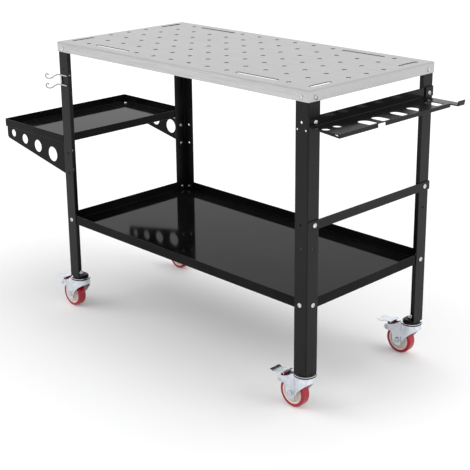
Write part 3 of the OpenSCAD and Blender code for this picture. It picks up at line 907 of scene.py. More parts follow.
def bolt_seat(points: Sequence[Vector], head_h: float) -> Seat:
    """Finds a bolt's seat from its solid, whose wider end is the head.

    Args:
        points: The corners of the solid.
        head_h: The head's height in metres.

    Returns:
        The seat, its axis pointing out of the head.
    """
    low, high = extents(points)
    size, middle = high - low, (high + low) / 2
    # The bolt runs along the axis about which its box is square
    k = min(range(3), key=lambda j: abs(size[(j + 1) % 3] - size[(j + 2) % 3]))
    one, two = (j for j in range(3) if j != k)
    reach = head_h * HEAD_MARGIN
    ends = []
    for end in (low[k], high[k]):
        near = [p for p in points if abs(p[k] - end) < reach]
        ends.append(max(math.hypot(p[one] - middle[one], p[two] - middle[two]) for p in near))
    up = ends[1] > ends[0]
    point = middle.copy()
    point[k] = (high[k] - head_h) if up else (low[k] + head_h)
    return Seat(point, unit_axis(k, 1.0 if up else -1.0), size[k] - head_h)


# Geometry trees


class ShapeTree(NodeBoard):
    """A Geometry Nodes tree with named inputs that bakes to plain meshes."""

    def __init__(self, name: str) -> None:
        """Starts an empty tree.

        Args:
            name: The tree's name.
        """
        super().__init__(bpy.data.node_groups.new(name, "GeometryNodeTree"))
        for way in ("INPUT", "OUTPUT"):
            self.tree.interface.new_socket("Geometry", in_out=way, socket_type=GEOMETRY)
        self.start = self.add("NodeGroupInput")
        self.end = self.add("NodeGroupOutput")
        self.names: dict = {}

    def size(self, label: str, kind: str = FLOAT) -> Socket:
        """Adds a named input.

        Args:
            label: The input's name.
            kind: Its socket type.

        Returns:
            The socket that gives its value in the tree.
        """
        item = self.tree.interface.new_socket(label, in_out="INPUT", socket_type=kind)
        self.names[label] = item.identifier
        return self.start.outputs[label]

    def named(self, label: str, kind: str) -> Socket:
        """Reads a named attribute of this data type."""
        node = self.add("GeometryNodeInputNamedAttribute", {"Name": label}, data_type=kind)
        return node.outputs["Attribute"]

    def close(self, geometry: Socket, walls: str = "") -> None:
        """Ends the tree in Realize Instances and Set Material.

        Args:
            geometry: The finished geometry.
            walls: Face attribute of the cut walls, if they have their own finish.
        """
        real = self.add("GeometryNodeRealizeInstances", {"Geometry": geometry}).outputs[0]
        dressed = {"Geometry": real, "Material": self.size("Finish", FINISH)}
        last = self.add("GeometryNodeSetMaterial", dressed).outputs[0]
        if walls:
            marked = {
                "Geometry": last,
                "Selection": self.named(walls, "BOOLEAN"),
                "Material": self.size("Wall Finish", FINISH),
            }
            last = self.add("GeometryNodeSetMaterial", marked).outputs[0]
        self.feed(self.end.inputs["Geometry"], last)

    def bake(self, name: str, base: Mesh, values: dict, degrees: float = SHARP) -> Piece:
        """Runs the tree and keeps its result as a plain mesh.

        Args:
            name: The piece's name.
            base: The mesh that the tree starts from.
            values: Values for the named inputs.
            degrees: Edges that bend more than this stay sharp.

        Returns:
            The piece, with no modifier left.
        """
        piece = mesh_object(name, base)
        modifier = piece.modifiers.new("shape", "NODES")
        modifier.node_group = self.tree
        for label, value in values.items():
            modifier[self.names[label]] = value
        return soften(baked(piece), degrees)

    def instances(self, points: Socket, shape: Socket, **how: object) -> Socket:
        """Sets a shape at each point, with its Rotation, Scale or Selection."""
        values = {"Points": points, "Instance": shape, **how}
        return self.add("GeometryNodeInstanceOnPoints", values).outputs["Instances"]

    def joined(self, *parts: Socket) -> Socket:
        """Joins several geometries.

        Args:
            parts: The geometries.

        Returns:
            The joined geometry.
        """
        node = self.add("GeometryNodeJoinGeometry")
        for part in parts:
            self.tree.links.new(part, node.inputs[0])
        return node.outputs[0]

    def moved(self, shape: Socket, move: object = None, scale: object = None) -> Socket:
        """Moves and scales a geometry."""
        values = {"Geometry": shape, "Translation": move, "Scale": scale}
        return self.add("GeometryNodeTransform", values).outputs[0]

    def triple(self, x: object, y: object, z: object) -> Socket:
        """Combines three values to a vector."""
        return self.add("ShaderNodeCombineXYZ", {0: x, 1: y, 2: z}).outputs[0]

    def raised(self, shape: Socket, height: object) -> Socket:
        """Moves a geometry along Z."""
        return self.moved(shape, self.triple(0.0, 0.0, height))

    def rod(self, sides: int, radius: object, depth: object) -> Socket:
        """Adds a cylinder or prism about +Z with this many sides."""
        values = {"Vertices": sides, "Radius": radius, "Depth": depth}
        return self.add("GeometryNodeMeshCylinder", values).outputs["Mesh"]

    def ball(self, segments: int, rings: int) -> Socket:
        """Adds a ball with a radius of one, to be scaled."""
        values = {"Segments": segments, "Rings": rings, "Radius": 1.0}
        return self.add("GeometryNodeMeshUVSphere", values).outputs["Mesh"]

    def cut(self, operation: str, first: Socket, *others: Socket) -> Socket:
        """Adds, cuts or trims meshes.

        Args:
            operation: UNION, DIFFERENCE or INTERSECT.
            first: The first mesh.
            others: The other meshes.

        Returns:
            The resulting mesh.
        """
        node = self.add("GeometryNodeMeshBoolean", operation=operation, solver="EXACT")
        self.tree.links.new(first, node.inputs[0 if operation == "DIFFERENCE" else 1])
        for other in others:
            self.tree.links.new(other, node.inputs[1])
        return node.outputs["Mesh"]


def point_mesh(points: Sequence[Vector], axes: Sequence[Vector] = (), lengths: Sequence[float] = ()) -> Mesh:
    """Makes a mesh of loose points that carry an axis and a length.

    Args:
        points: Where the points are.
        axes: The direction at each point.
        lengths: The length at each point.

    Returns:
        The mesh.
    """
    mesh = bpy.data.meshes.new("seats")
    mesh.from_pydata([tuple(p) for p in points], [], [])
    if axes:
        data = mesh.attributes.new("axis", "FLOAT_VECTOR", "POINT").data
        for item, axis in zip(data, axes):
            item.vector = axis
    if lengths:
        data = mesh.attributes.new("length", "FLOAT", "POINT").data
        for item, length in zip(data, lengths):
            item.value = length
    return mesh


class SeatTree(ShapeTree):
    """A tree that sets one shape at each seat, turned along its axis."""

    def turned(self) -> Socket:
        """Gives the rotation that turns +Z to the seat's axis."""
        values = {"Vector": self.named("axis", "FLOAT_VECTOR")}
        return self.add("FunctionNodeAlignRotationToVector", values, axis="Z").outputs["Rotation"]

    def scatter(self, shape: Socket, **how: object) -> Socket:
        """Sets a shape at each seat, with its Rotation or Scale."""
        return self.instances(self.start.outputs["Geometry"], shape, **how)


class DomeBoltTree(SeatTree):
    """Dome-head bolts with a hex socket, each head on its seat along the seat's axis."""

    rim_share: float = 0.24
    socket_at: float = 0.92
    hex_corner: float = 0.577
    head_sides: int = 24
    head_rings: int = 14
    shank_sides: int = 20

    def __init__(self) -> None:
        """Builds the tree."""
        super().__init__("dome_bolts")
        head_d, head_h = self.size("Head Diameter"), self.size("Head Height")
        shank_d, socket_w = self.size("Shank Diameter"), self.size("Socket Width")
        radius, rim = self.times(head_d, 0.5), self.times(head_h, self.rim_share)
        ball = self.ball(self.head_sides, self.head_rings)
        above = self.triple(radius, radius, self.less(head_h, rim))
        dome = self.moved(ball, self.triple(0.0, 0.0, rim), above)
        across = self.times(head_d, 2.0)
        block = self.add("GeometryNodeMeshCube", {"Size": self.triple(across, across, head_d)})
        crown = self.cut("DIFFERENCE", dome, self.raised(block.outputs["Mesh"], self.times(head_d, -0.5)))
        foot = self.raised(self.rod(self.head_sides, radius, rim), self.times(rim, 0.5))
        recess = self.rod(HEX_SIDES, self.times(socket_w, self.hex_corner), head_h)
        recess = self.raised(recess, self.times(head_h, self.socket_at))
        head = self.cut("DIFFERENCE", self.cut("UNION", crown, foot), recess)
        stub = self.raised(self.rod(self.shank_sides, self.times(shank_d, 0.5), 1.0), -0.5)
        turn, stretch = self.turned(), self.triple(1.0, 1.0, self.named("length", "FLOAT"))
        heads = self.scatter(head, Rotation=turn)
        self.close(self.joined(heads, self.scatter(stub, Rotation=turn, Scale=stretch)))


class HexNutTree(SeatTree):
    """Hex nuts with cut corners, each centred on its seat."""

    hex_corner: float = 0.57735
    barrel_wide: float = 0.605
    barrel_high: float = 0.87
    barrel_sides: int = 28
    barrel_rings: int = 16
    bore_sides: int = 20

    def __init__(self) -> None:
        """Builds the tree."""
        super().__init__("hex_nuts")
        flats, height, bore = self.size("Across Flats"), self.size("Height"), self.size("Bore")
        block = self.rod(HEX_SIDES, self.times(flats, self.hex_corner), height)
        wide = self.times(flats, self.barrel_wide)
        swell = self.triple(wide, wide, self.times(height, self.barrel_high))
        barrel = self.moved(self.ball(self.barrel_sides, self.barrel_rings), None, swell)
        rounded = self.cut("INTERSECT", block, barrel)
        hole = self.rod(self.bore_sides, self.times(bore, 0.5), self.times(height, 2.0))
        self.close(self.scatter(self.cut("DIFFERENCE", rounded, hole), Rotation=self.turned()))


class RaceBallTree(SeatTree):
    """Race balls, each centred on its seat."""

    splits: int = 3

    def __init__(self) -> None:
        """Builds the tree."""
        super().__init__("race_balls")
        values = {"Radius": self.size("Ball Radius"), "Subdivisions": self.splits}
        self.close(self.scatter(self.add("GeometryNodeMeshIcoSphere", values).outputs["Mesh"]))


class PerforatedSheetTree(ShapeTree):
    """The flat perforated sheet, its upper face at zero.

    A grid of round holes is cut in it, with slots near its edges in place of
    some holes. Its rim is left open, for the folded skirt to join. Columns are
    counted from the middle, slot_from_middle is in pitches, rim_width in mm.
    """

    hole_sides: int = 32
    slot_end_steps: int = 8
    slot_end: float = 0.4999
    slot_column: float = 4.5
    slot_reach: float = 0.6
    slot_from_middle: float = 4.0
    rim_width: float = 0.2

    def __init__(self) -> None:
        """Builds the tree."""
        super().__init__("perforated_sheet")
        self.length, self.width, self.thick = self.size("Length"), self.size("Width"), self.size("Thickness")
        self.pitch_x, self.pitch_y = self.size("Pitch X"), self.size("Pitch Y")
        self.hole_d = self.size("Hole Diameter")
        self.columns, self.rows = self.size("Columns", WHOLE), self.size("Rows", WHOLE)
        self.long_slot, self.short_slot = self.size("Long Slot"), self.size("Short Slot")
        self.slot_w = self.size("Slot Width")
        self.half_x = self.times(self.times(self.less(self.columns, 1.0), 0.5), self.pitch_x)
        self.half_y = self.times(self.times(self.less(self.rows, 1.0), 0.5), self.pitch_y)
        rings = self.joined(self.rectangle(self.length, self.width), self.holes(), *self.slots())
        rings = self.add("GeometryNodeRealizeInstances", {0: rings}).outputs[0]
        filled = self.add("GeometryNodeFillCurve", {0: rings}, mode="TRIANGLES").outputs[0]
        self.close(self.thickened(self.raised(filled, self.times(self.thick, -1.0))), "cut_wall")

    def rectangle(self, span_x: object, span_y: object) -> Socket:
        """Adds a rectangle about the origin."""
        values = {"Width": span_x, "Height": span_y}
        return self.add("GeometryNodeCurvePrimitiveQuadrilateral", values).outputs[0]

    def slot_curve(self, span_x: object, span_y: object) -> Socket:
        """Adds a rectangle with round ends.

        Args:
            span_x: Its size along X.
            span_y: Its size along Y.

        Returns:
            The curve.
        """
        values = {
            "Curve": self.rectangle(span_x, span_y),
            "Radius": self.times(self.slot_w, self.slot_end),
            "Count": self.slot_end_steps,
        }
        return self.add("GeometryNodeFilletCurve", values, mode="POLY").outputs[0]

    def grid(self, columns: object, rows: object, half_x: object, half_y: object) -> Socket:
        """Adds a grid of points about the origin.

        Args:
            columns: How many points it has along X.
            rows: How many points it has along Y.
            half_x: How far out its outer columns are.
            half_y: How far out its outer rows are.

        Returns:
            The mesh.
        """
        values = {
            "Size X": self.times(half_x, 2.0),
            "Size Y": self.times(half_y, 2.0),
            "Vertices X": columns,
            "Vertices Y": rows,
        }
        return self.add("GeometryNodeMeshGrid", values).outputs["Mesh"]

    def distance_out(self) -> tuple:
        """Gives how far each point is from the middle, along X and along Y."""
        place = self.add("ShaderNodeSeparateXYZ", {0: self.add("GeometryNodeInputPosition").outputs[0]})
        return tuple(self.math("ABSOLUTE", place.outputs[k]) for k in (0, 1))

    def holes(self) -> Socket:
        """Sets a round hole at each point of the grid that no slot takes.

        Returns:
            The holes' curves.
        """
        out_x, out_y = self.distance_out()
        column = self.math("ADD", self.math("DIVIDE", out_x, self.pitch_x), 0.5)
        row = self.math("DIVIDE", out_y, self.pitch_y)
        last_row = self.times(self.less(self.rows, 1.0), 0.5)
        last_column = self.times(self.columns, 0.5)
        on_edge = self.math("GREATER_THAN", row, self.less(last_row, 0.5))
        in_long = self.math("COMPARE", column, self.slot_column, self.slot_reach)
        at_end = self.math("GREATER_THAN", column, self.less(last_column, 0.5))
        near_corner = self.math("GREATER_THAN", row, self.less(last_row, 1.5))
        taken = self.math("ADD", self.times(on_edge, in_long), self.times(at_end, near_corner))
        values = {"Resolution": self.hole_sides, "Radius": self.times(self.hole_d, 0.5)}
        ring = self.add("GeometryNodeCurvePrimitiveCircle", values).outputs["Curve"]
        points = self.grid(self.columns, self.rows, self.half_x, self.half_y)
        return self.instances(points, ring, Selection=self.math("LESS_THAN", taken, 0.5))

    def slots(self) -> tuple:
        """Sets the long slots in the outer rows and the short ones in the outer columns.

        Returns:
            The curves of the long slots and of the short slots.
        """
        middle_x = self.times(self.pitch_x, self.slot_from_middle)
        middle_y = self.less(self.half_y, self.times(self.pitch_y, 0.5))
        long_ones = self.grid(2, 2, middle_x, self.half_y)
        short_ones = self.grid(2, 2, self.half_x, middle_y)
        return (
            self.instances(long_ones, self.slot_curve(self.long_slot, self.slot_w)),
            self.instances(short_ones, self.slot_curve(self.slot_w, self.short_slot)),
        )

    def thickened(self, under: Socket) -> Socket:
        """Raises the sheet's thickness and marks the walls of its cuts.

        Args:
            under: The flat face of the underside.

        Returns:
            The solid sheet, open at its rim.
        """
        values = {
            "Mesh": under,
            "Offset": (0.0, 0.0, 1.0),
            "Offset Scale": self.thick,
            "Individual": False,
        }
        solid = self.add("GeometryNodeExtrudeMesh", values, mode="FACES").outputs
        out_x, out_y = self.distance_out()
        past_x, past_y = (
            self.math("GREATER_THAN", out, self.less(self.times(span, 0.5), self.rim_width * MM))
            for out, span in ((out_x, self.length), (out_y, self.width))
        )
        rim = self.times(self.math("ADD", past_x, past_y), solid["Side"])
        values = {"Geometry": solid["Mesh"], "Name": "cut_wall", "Value": solid["Side"]}
        marked = self.add("GeometryNodeStoreNamedAttribute", values, data_type="BOOLEAN", domain="FACE")
        values = {"Geometry": marked.outputs[0], "Selection": rim}
        opened = self.add("GeometryNodeDeleteGeometry", values, domain="FACE").outputs[0]
        underside = self.add("GeometryNodeFlipFaces", {"Mesh": under}).outputs[0]
        values = {"Geometry": self.joined(opened, underside), "Distance": SEAM}
        return self.add("GeometryNodeMergeByDistance", values).outputs[0]


# Sub-assemblies


@dataclass
class Workshop:
    """What every sub-assembly works with."""

    frame: dict
    finishes: Finishes

    def mesh(self, node: str) -> Mesh:
        """Gives a CAD node's mesh."""
        return self.frame["nodes"][node].data

    def recut(self, node: str, body: str, slot: Slot, material: Material, cut: Recut) -> Piece:
        """Replaces a CAD node by its smooth copy.

        Args:
            node: The node's name.
            body: The body that carries it.
            slot: Its material slot.
            material: Its finish.
            cut: How its edges are broken.

        Returns:
            The piece.
        """
        piece = cut.make(self.mesh(node), node + "_finished", material)
        own_mesh(piece, body, slot, node)
        return piece


@dataclass
class Tabletop:
    """The perforated work surface with its folded skirt."""

    length: float = 914.0
    width: float = 457.0
    thick: float = 2.0
    skirt: float = 27.0
    skirt_edge: float = 0.35
    bend: float = 4.5
    hole_d: float = 12.0
    pitch_x: float = 66.0
    pitch_y: float = 63.5
    columns: int = 14
    rows: int = 7
    long_slot: float = 136.0
    short_slot: float = 72.0
    slot_w: float = 12.0
    arc_steps: int = 8
    seam: float = 0.008
    sliver: float = 0.001

    def profile(self) -> list:
        """Gives the closed section of the folded edge.

        Returns:
            Pairs of outward distance from the flat sheet and height, in mm,
            from the sheet's upper face round the skirt to its lower face.
        """
        r, t, soft, low = self.bend, self.thick, self.skirt_edge, -self.skirt
        turn = quarter_turn(self.arc_steps)
        outer = [(r * math.sin(a), -r + r * math.cos(a)) for a in turn]
        inner = [((r - t) * math.sin(a), -r + (r - t) * math.cos(a)) for a in reversed(turn)]
        foot = [(r, low + soft), (r - soft, low), (r - t + soft, low), (r - t, low + soft)]
        return outer + foot + inner

    def ring(self, form: Form, middle: Vector, out: float, height: float) -> list:
        """Adds one ring of corners round the sheet.

        Args:
            form: The shape that is built.
            middle: The centre of the upper face, in metres.
            out: Outward distance in mm.
            height: Height in mm, measured from the upper face.

        Returns:
            The ring's corners in order.
        """
        half_l, half_w = self.length / 2 - self.bend, self.width / 2 - self.bend
        ring = []
        for quarter, (sx, sy) in enumerate(((1, 1), (-1, 1), (-1, -1), (1, -1))):
            for i in range(self.arc_steps + 1):
                a = (quarter + i / self.arc_steps) * math.pi / 2
                x, y = sx * half_l + out * math.cos(a), sy * half_w + out * math.sin(a)
                ring.append(form.verts.new(middle + Vector((x, y, height)) * MM))
        return ring

    def sheet(self, finishes: Finishes) -> Piece:
        """Makes the flat sheet with its holes and slots.

        Args:
            finishes: The table's finishes.

        Returns:
            The sheet, its upper face at zero and its cut walls in the second slot.
        """
        sizes = {
            "Length": self.length - 2 * self.bend,
            "Width": self.width - 2 * self.bend,
            "Thickness": self.thick,
            "Pitch X": self.pitch_x,
            "Pitch Y": self.pitch_y,
            "Hole Diameter": self.hole_d,
            "Long Slot": self.long_slot,
            "Short Slot": self.short_slot,
            "Slot Width": self.slot_w,
        }
        values = {label: size * MM for label, size in sizes.items()}
        values.update({"Columns": self.columns, "Rows": self.rows})
        # The cut walls get the painted shade finish of the holes.
        values.update({"Finish": finishes.plate, "Wall Finish": finishes.hole_wall_shade})
        base = point_mesh([Vector((0.0, 0.0, 0.0))])
        sheet = PerforatedSheetTree().bake("tabletop_sheet", base, values)
        wall = finishes.hole_wall_shade.name
        walls = {i for i, m in enumerate(sheet.data.materials) if m and m.name == wall}
        for face in sheet.data.polygons:
            face.material_index = int(face.material_index in walls)
        return sheet

    def build(self, shop: Workshop) -> None:
        """Makes the sheet, folds its edge and joins the two.

        Args:
            shop: The workshop.
        """
        low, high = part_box("tabletop")
        middle = Vector(((low[0] + high[0]) / 2, (low[1] + high[1]) / 2, high[2]))
        sheet = self.sheet(shop.finishes)
        form = bmesh.new()
        form.from_mesh(sheet.data)
        bpy.data.objects.remove(sheet)
        bmesh.ops.translate(form, verts=form.verts, vec=middle)
        rings = [self.ring(form, middle, out, height) for out, height in self.profile()]
        for first, second in zip(rings, rings[1:]):
            join_rings(form, first, second)
        bmesh.ops.remove_doubles(form, verts=form.verts, dist=self.seam * MM)
        bmesh.ops.dissolve_degenerate(form, edges=form.edges, dist=self.sliver * MM)
        piece = folded_piece(form, "tabletop_plate", shop.finishes.plate)
        # The second slot holds the painted shade of the hole walls.
        piece.data.materials.append(shop.finishes.hole_wall_shade)
        own_mesh(keep_flats(piece), "frame", Slot.PLATE, "tabletop")


@dataclass
class Framework:
    """Legs, trays, brackets, rail, hooks and collars."""

    legs: tuple = ("leg_front_left", "leg_front_right", "leg_back_left", "leg_back_right")
    trays: tuple = ("bottom_tray", "side_tray")
    brackets: tuple = ("side_bracket_front", "side_bracket_back")

    def build(self, shop: Workshop) -> None:
        """Dresses the coated steel and the wire.

        Args:
            shop: The workshop.
        """
        coat = shop.finishes.coat
        coated = (
            (self.legs, coat["legs"], Recut(bevel=0.3, rounds=2)),
            (self.trays, coat["trays"], Recut(bevel=0.2, rounds=1)),
            (self.brackets, coat["trays"], Recut(bevel=0.3, rounds=2)),
            (("end_rail",), coat["rack"], Recut(bevel=0.3, rounds=2)),
            (("hook_arm",), coat["rack"], Recut(bevel=0.5, rounds=3)),
            (("stem_collars",), coat["collar"], Recut(bevel=0.3, rounds=2)),
        )
        for nodes, finish, cut in coated:
            for node in nodes:
                shop.recut(node, "frame", Slot.COAT, finish, cut)
        shop.recut("torch_hook", "frame", Slot.WIRE, shop.finishes.wire, Recut(bevel=0.0, degrees=50.0))


@dataclass
class ToolRack:
    """The slotted rack, folded from one sheet with a lip at its outer edge and its near end."""

    thick: float = 2.0
    fold: float = 1.2
    back_h: float = 25.0
    reach: float = 88.0
    drop: float = 9.0
    bend: float = 1.4
    bend_steps: int = 6
    relief: tuple = (70.0, 84.0, 5.5)
    shelf_short: float = 50.0
    hole_d: float = 20.0
    hole_sides: int = 32
    holes: tuple = ((36.0, 16.0), (36.0, 53.0))
    slot_in: float = 38.0
    slot_out: float = 80.5
    slot_corner: float = 2.5
    slot_steps: int = 14
    slots: tuple = ((126.1, 33.0), (173.1, 30.0), (240.1, 28.0), (301.1, 26.0), (374.1, 30.0))
    mouth: tuple = (131.0, 158.5)
    mouth_in: float = 84.0
    bolt_up: float = 8.0
    bolt_in: float = 21.0
    bolt_d: float = 6.4
    bolt_sides: int = 24
    past: float = 5.0
    cut_height: tuple = (-20.0, 10.0)
    cut_depth: tuple = (-5.0, 10.0)
    flat: float = 0.5
    sharp: float = 14.0
    edge: float = 0.3
    edge_rounds: int = 2

    def section(self) -> list:
        """Gives the closed section of the folded sheet.

        Returns:
            Pairs of distance from the legs and height over the shelf, in mm.
        """
        t, r, b, out, low = self.thick, self.fold, self.bend, self.reach, -self.drop
        turn = quarter_turn(self.bend_steps)
        hollow = [(t + r - r * math.cos(a), r - r * math.sin(a)) for a in turn]
        round_back = [(t + r - (r + t) * math.cos(a), r - (r + t) * math.sin(a)) for a in reversed(turn)]
        lip = [(out - b + b * math.sin(a), b * math.cos(a) - b) for a in turn]
        top = self.back_h - t
        return [(0.0, top), (t, top), *hollow, *lip, (out, low), (out - t, low), (out - t, -t), *round_back]

    def end_lip(self) -> list:
        """Gives the tapered lip of the near end, open at its corner relief.

        Returns:
            Pairs of distance from the legs and height over the shelf, in mm.
        """
        near, far, deep = self.relief
        inner, up = self.thick + self.fold, -self.thick / 2
        out = self.reach + up
        corner = [(near, up), (near, -self.thick), (far, -deep), (far, up)]
        return [(inner, up), *corner, (out, up), (out, -self.drop)]

    def slot_outline(self, middle: float, width: float) -> list:
        """Gives a tool slot: round towards the legs, square at the bend.

        Args:
            middle: Its middle along the rack.
            width: Its width.

        Returns:
            Pairs of distance from the legs and place along the rack, in mm.
        """
        half, soft, out = width / 2, self.slot_corner, self.slot_out
        turn = [i / self.slot_steps * math.pi for i in range(self.slot_steps + 1)]
        arc = [(self.slot_in + half - half * math.sin(a), middle + half * math.cos(a)) for a in turn]
        low, high = middle - half, middle + half
        return [*arc, (out - soft, low), (out, low + soft), (out, high - soft), (out - soft, high)]

    @staticmethod
    def disc(x: float, y: float, across: float, steps: int) -> list:
        """Gives the outline of a round hole."""
        turn = [2 * math.pi * i / steps for i in range(steps)]
        return [(x + across / 2 * math.cos(a), y + across / 2 * math.sin(a)) for a in turn]

    @staticmethod
    def solid(name: str, origin: Vector, outline: list, span: tuple) -> Piece:
        """Makes a solid that keeps one section along the rack.

        Args:
            name: The solid's name.
            origin: The rack's near inner corner on the shelf, in metres.
            outline: Pairs of distance from the legs and height, in mm.
            span: Where it starts and ends along the rack, in mm.

        Returns:
            The solid.
        """
        form = bmesh.new()
        ends = [[origin + Vector((x, y, z)) * MM for x, z in outline] for y in span]
        add_prism(form, *ends)
        bmesh.ops.recalc_face_normals(form, faces=form.faces)
        return form_object(form, name)

    def cutter(self, name: str, origin: Vector, upright: list, level: Sequence[list] = ()) -> Piece:
        """Makes the solid that is cut away.

        Args:
            name: The cutter's name.
            origin: The rack's near inner corner on the shelf, in metres.
            upright: Outlines seen from above, cut right through the shelf.
            level: Outlines seen from the end, cut right through the back.

        Returns:
            The cutter.
        """
        form = bmesh.new()
        for outline in upright:
            add_prism(form, *([origin + Vector((x, y, z)) * MM for x, y in outline] for z in self.cut_height))
        for outline in level:
            add_prism(form, *([origin + Vector((x, y, z)) * MM for y, z in outline] for x in self.cut_depth))
        bmesh.ops.recalc_face_normals(form, faces=form.faces)
        return form_object(form, name)

    def tools(self, origin: Vector, length: float) -> list:
        """Makes the solids that are added to the folded sheet and cut from it.

        Args:
            origin: The rack's near inner corner on the shelf, in metres.
            length: The rack's length, in mm.

        Returns:
            Pairs of operation and solid, in order.
        """
        holes = [self.disc(x, y, self.hole_d, self.hole_sides) for x, y in self.holes]
        holes += [self.slot_outline(y, w) for y, w in self.slots]
        ends = (self.bolt_in, length - self.bolt_in)
        bolts = [self.disc(y, self.bolt_up, self.bolt_d, self.bolt_sides) for y in ends]
        near, far, out = *self.mouth, self.reach + self.past
        mouth = [(self.mouth_in, near), (out, near), (out, far), (self.mouth_in, far)]
        start, end = length - self.shelf_short, length + self.past
        tail = [(self.thick, start), (out, start), (out, end), (self.thick, end)]
        return [
            ("UNION", self.solid("rack_end_lip", origin, self.end_lip(), (0.0, self.thick))),
            ("DIFFERENCE", self.cutter("rack_holes", origin, holes, bolts)),
            ("DIFFERENCE", self.cutter("rack_mouth", origin, [mouth, tail])),
        ]

    def build(self, shop: Workshop) -> None:
        """Folds the sheet, cuts it and breaks its edges.

        Args:
            shop: The workshop.
        """
        low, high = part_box("tool_rack")
        origin = Vector((low[0], low[1], low[2] + self.drop * MM))
        length = (high[1] - low[1]) / MM
        piece = self.solid("tool_rack_folded", origin, self.section(), (0.0, length))
        piece.data.materials.append(shop.finishes.coat["rack"])
        tools = self.tools(origin, length)
        for operation, tool in tools:
            step = piece.modifiers.new(tool.name, "BOOLEAN")
            step.operation, step.solver, step.object = operation, "EXACT", tool
        baked(piece)
        for _, tool in tools:
            bpy.data.objects.remove(tool)
        form = bmesh.new()
        form.from_mesh(piece.data)
        merge_flats(form, self.flat)
        break_edges(form, self.edge, self.edge_rounds)
        form.to_mesh(piece.data)
        form.free()
        own_mesh(keep_flats(soften(piece, self.sharp)), "frame", Slot.COAT, "tool_rack")


@dataclass
class Fasteners:
    """The bolts and nuts of the frame and its accessories."""

    head_d: float = 12.0
    head_h: float = 3.4
    bolt_d: float = 6.0
    socket_w: float = 4.0
    stem_d: float = 10.0

    def build(self, shop: Workshop) -> None:
        """Makes every bolt and nut on its CAD seat.

        Args:
            shop: The workshop.
        """
        bolts, nuts = DomeBoltTree(), HexNutTree()
        for node in ("frame_bolts", "accessory_bolts"):
            self.set_bolts(shop, bolts, node)
        for node in ("frame_nuts", "accessory_nuts"):
            self.set_nuts(shop, nuts, node, self.bolt_d)
        self.set_nuts(shop, nuts, "stem_nuts", self.stem_d)

    def set_bolts(self, shop: Workshop, tree: DomeBoltTree, node: str) -> None:
        """Makes the bolts of one CAD node.

        Args:
            shop: The workshop.
            tree: The tree that makes them.
            node: The node's name.
        """
        seats = [bolt_seat(points, self.head_h * MM) for points in islands(shop.mesh(node))]
        base = point_mesh([s.point for s in seats], [s.axis for s in seats], [s.length for s in seats])
        sizes = {
            "Head Diameter": self.head_d * MM,
            "Head Height": self.head_h * MM,
            "Shank Diameter": self.bolt_d * MM,
            "Socket Width": self.socket_w * MM,
        }
        piece = tree.bake(node + "_domed", base, {**sizes, "Finish": shop.finishes.fastener})
        own_mesh(piece, "frame", Slot.FASTENER, node)
        log.info("%s has %d bolts", node, len(seats))

    @staticmethod
    def set_nuts(shop: Workshop, tree: HexNutTree, node: str, bore: float) -> None:
        """Makes the nuts of one CAD node, each along the shortest side of its solid.

        Args:
            shop: The workshop.
            tree: The tree that makes them.
            node: The node's name.
            bore: The nuts' bore, in mm.
        """
        boxes = [extents(points) for points in islands(shop.mesh(node))]
        sizes = [high - low for low, high in boxes]
        middles = [(low + high) / 2 for low, high in boxes]
        axes = [unit_axis(thinnest(size)) for size in sizes]
        height, flats = (min(sorted(size)[k] for size in sizes) for k in (0, 1))
        values = {"Across Flats": flats, "Height": height, "Bore": bore * MM}
        values["Finish"] = shop.finishes.fastener
        piece = tree.bake(node + "_cut", point_mesh(middles, axes), values)
        own_mesh(piece, "frame", Slot.FASTENER, node)
        log.info("%s has %d nuts", node, len(sizes))


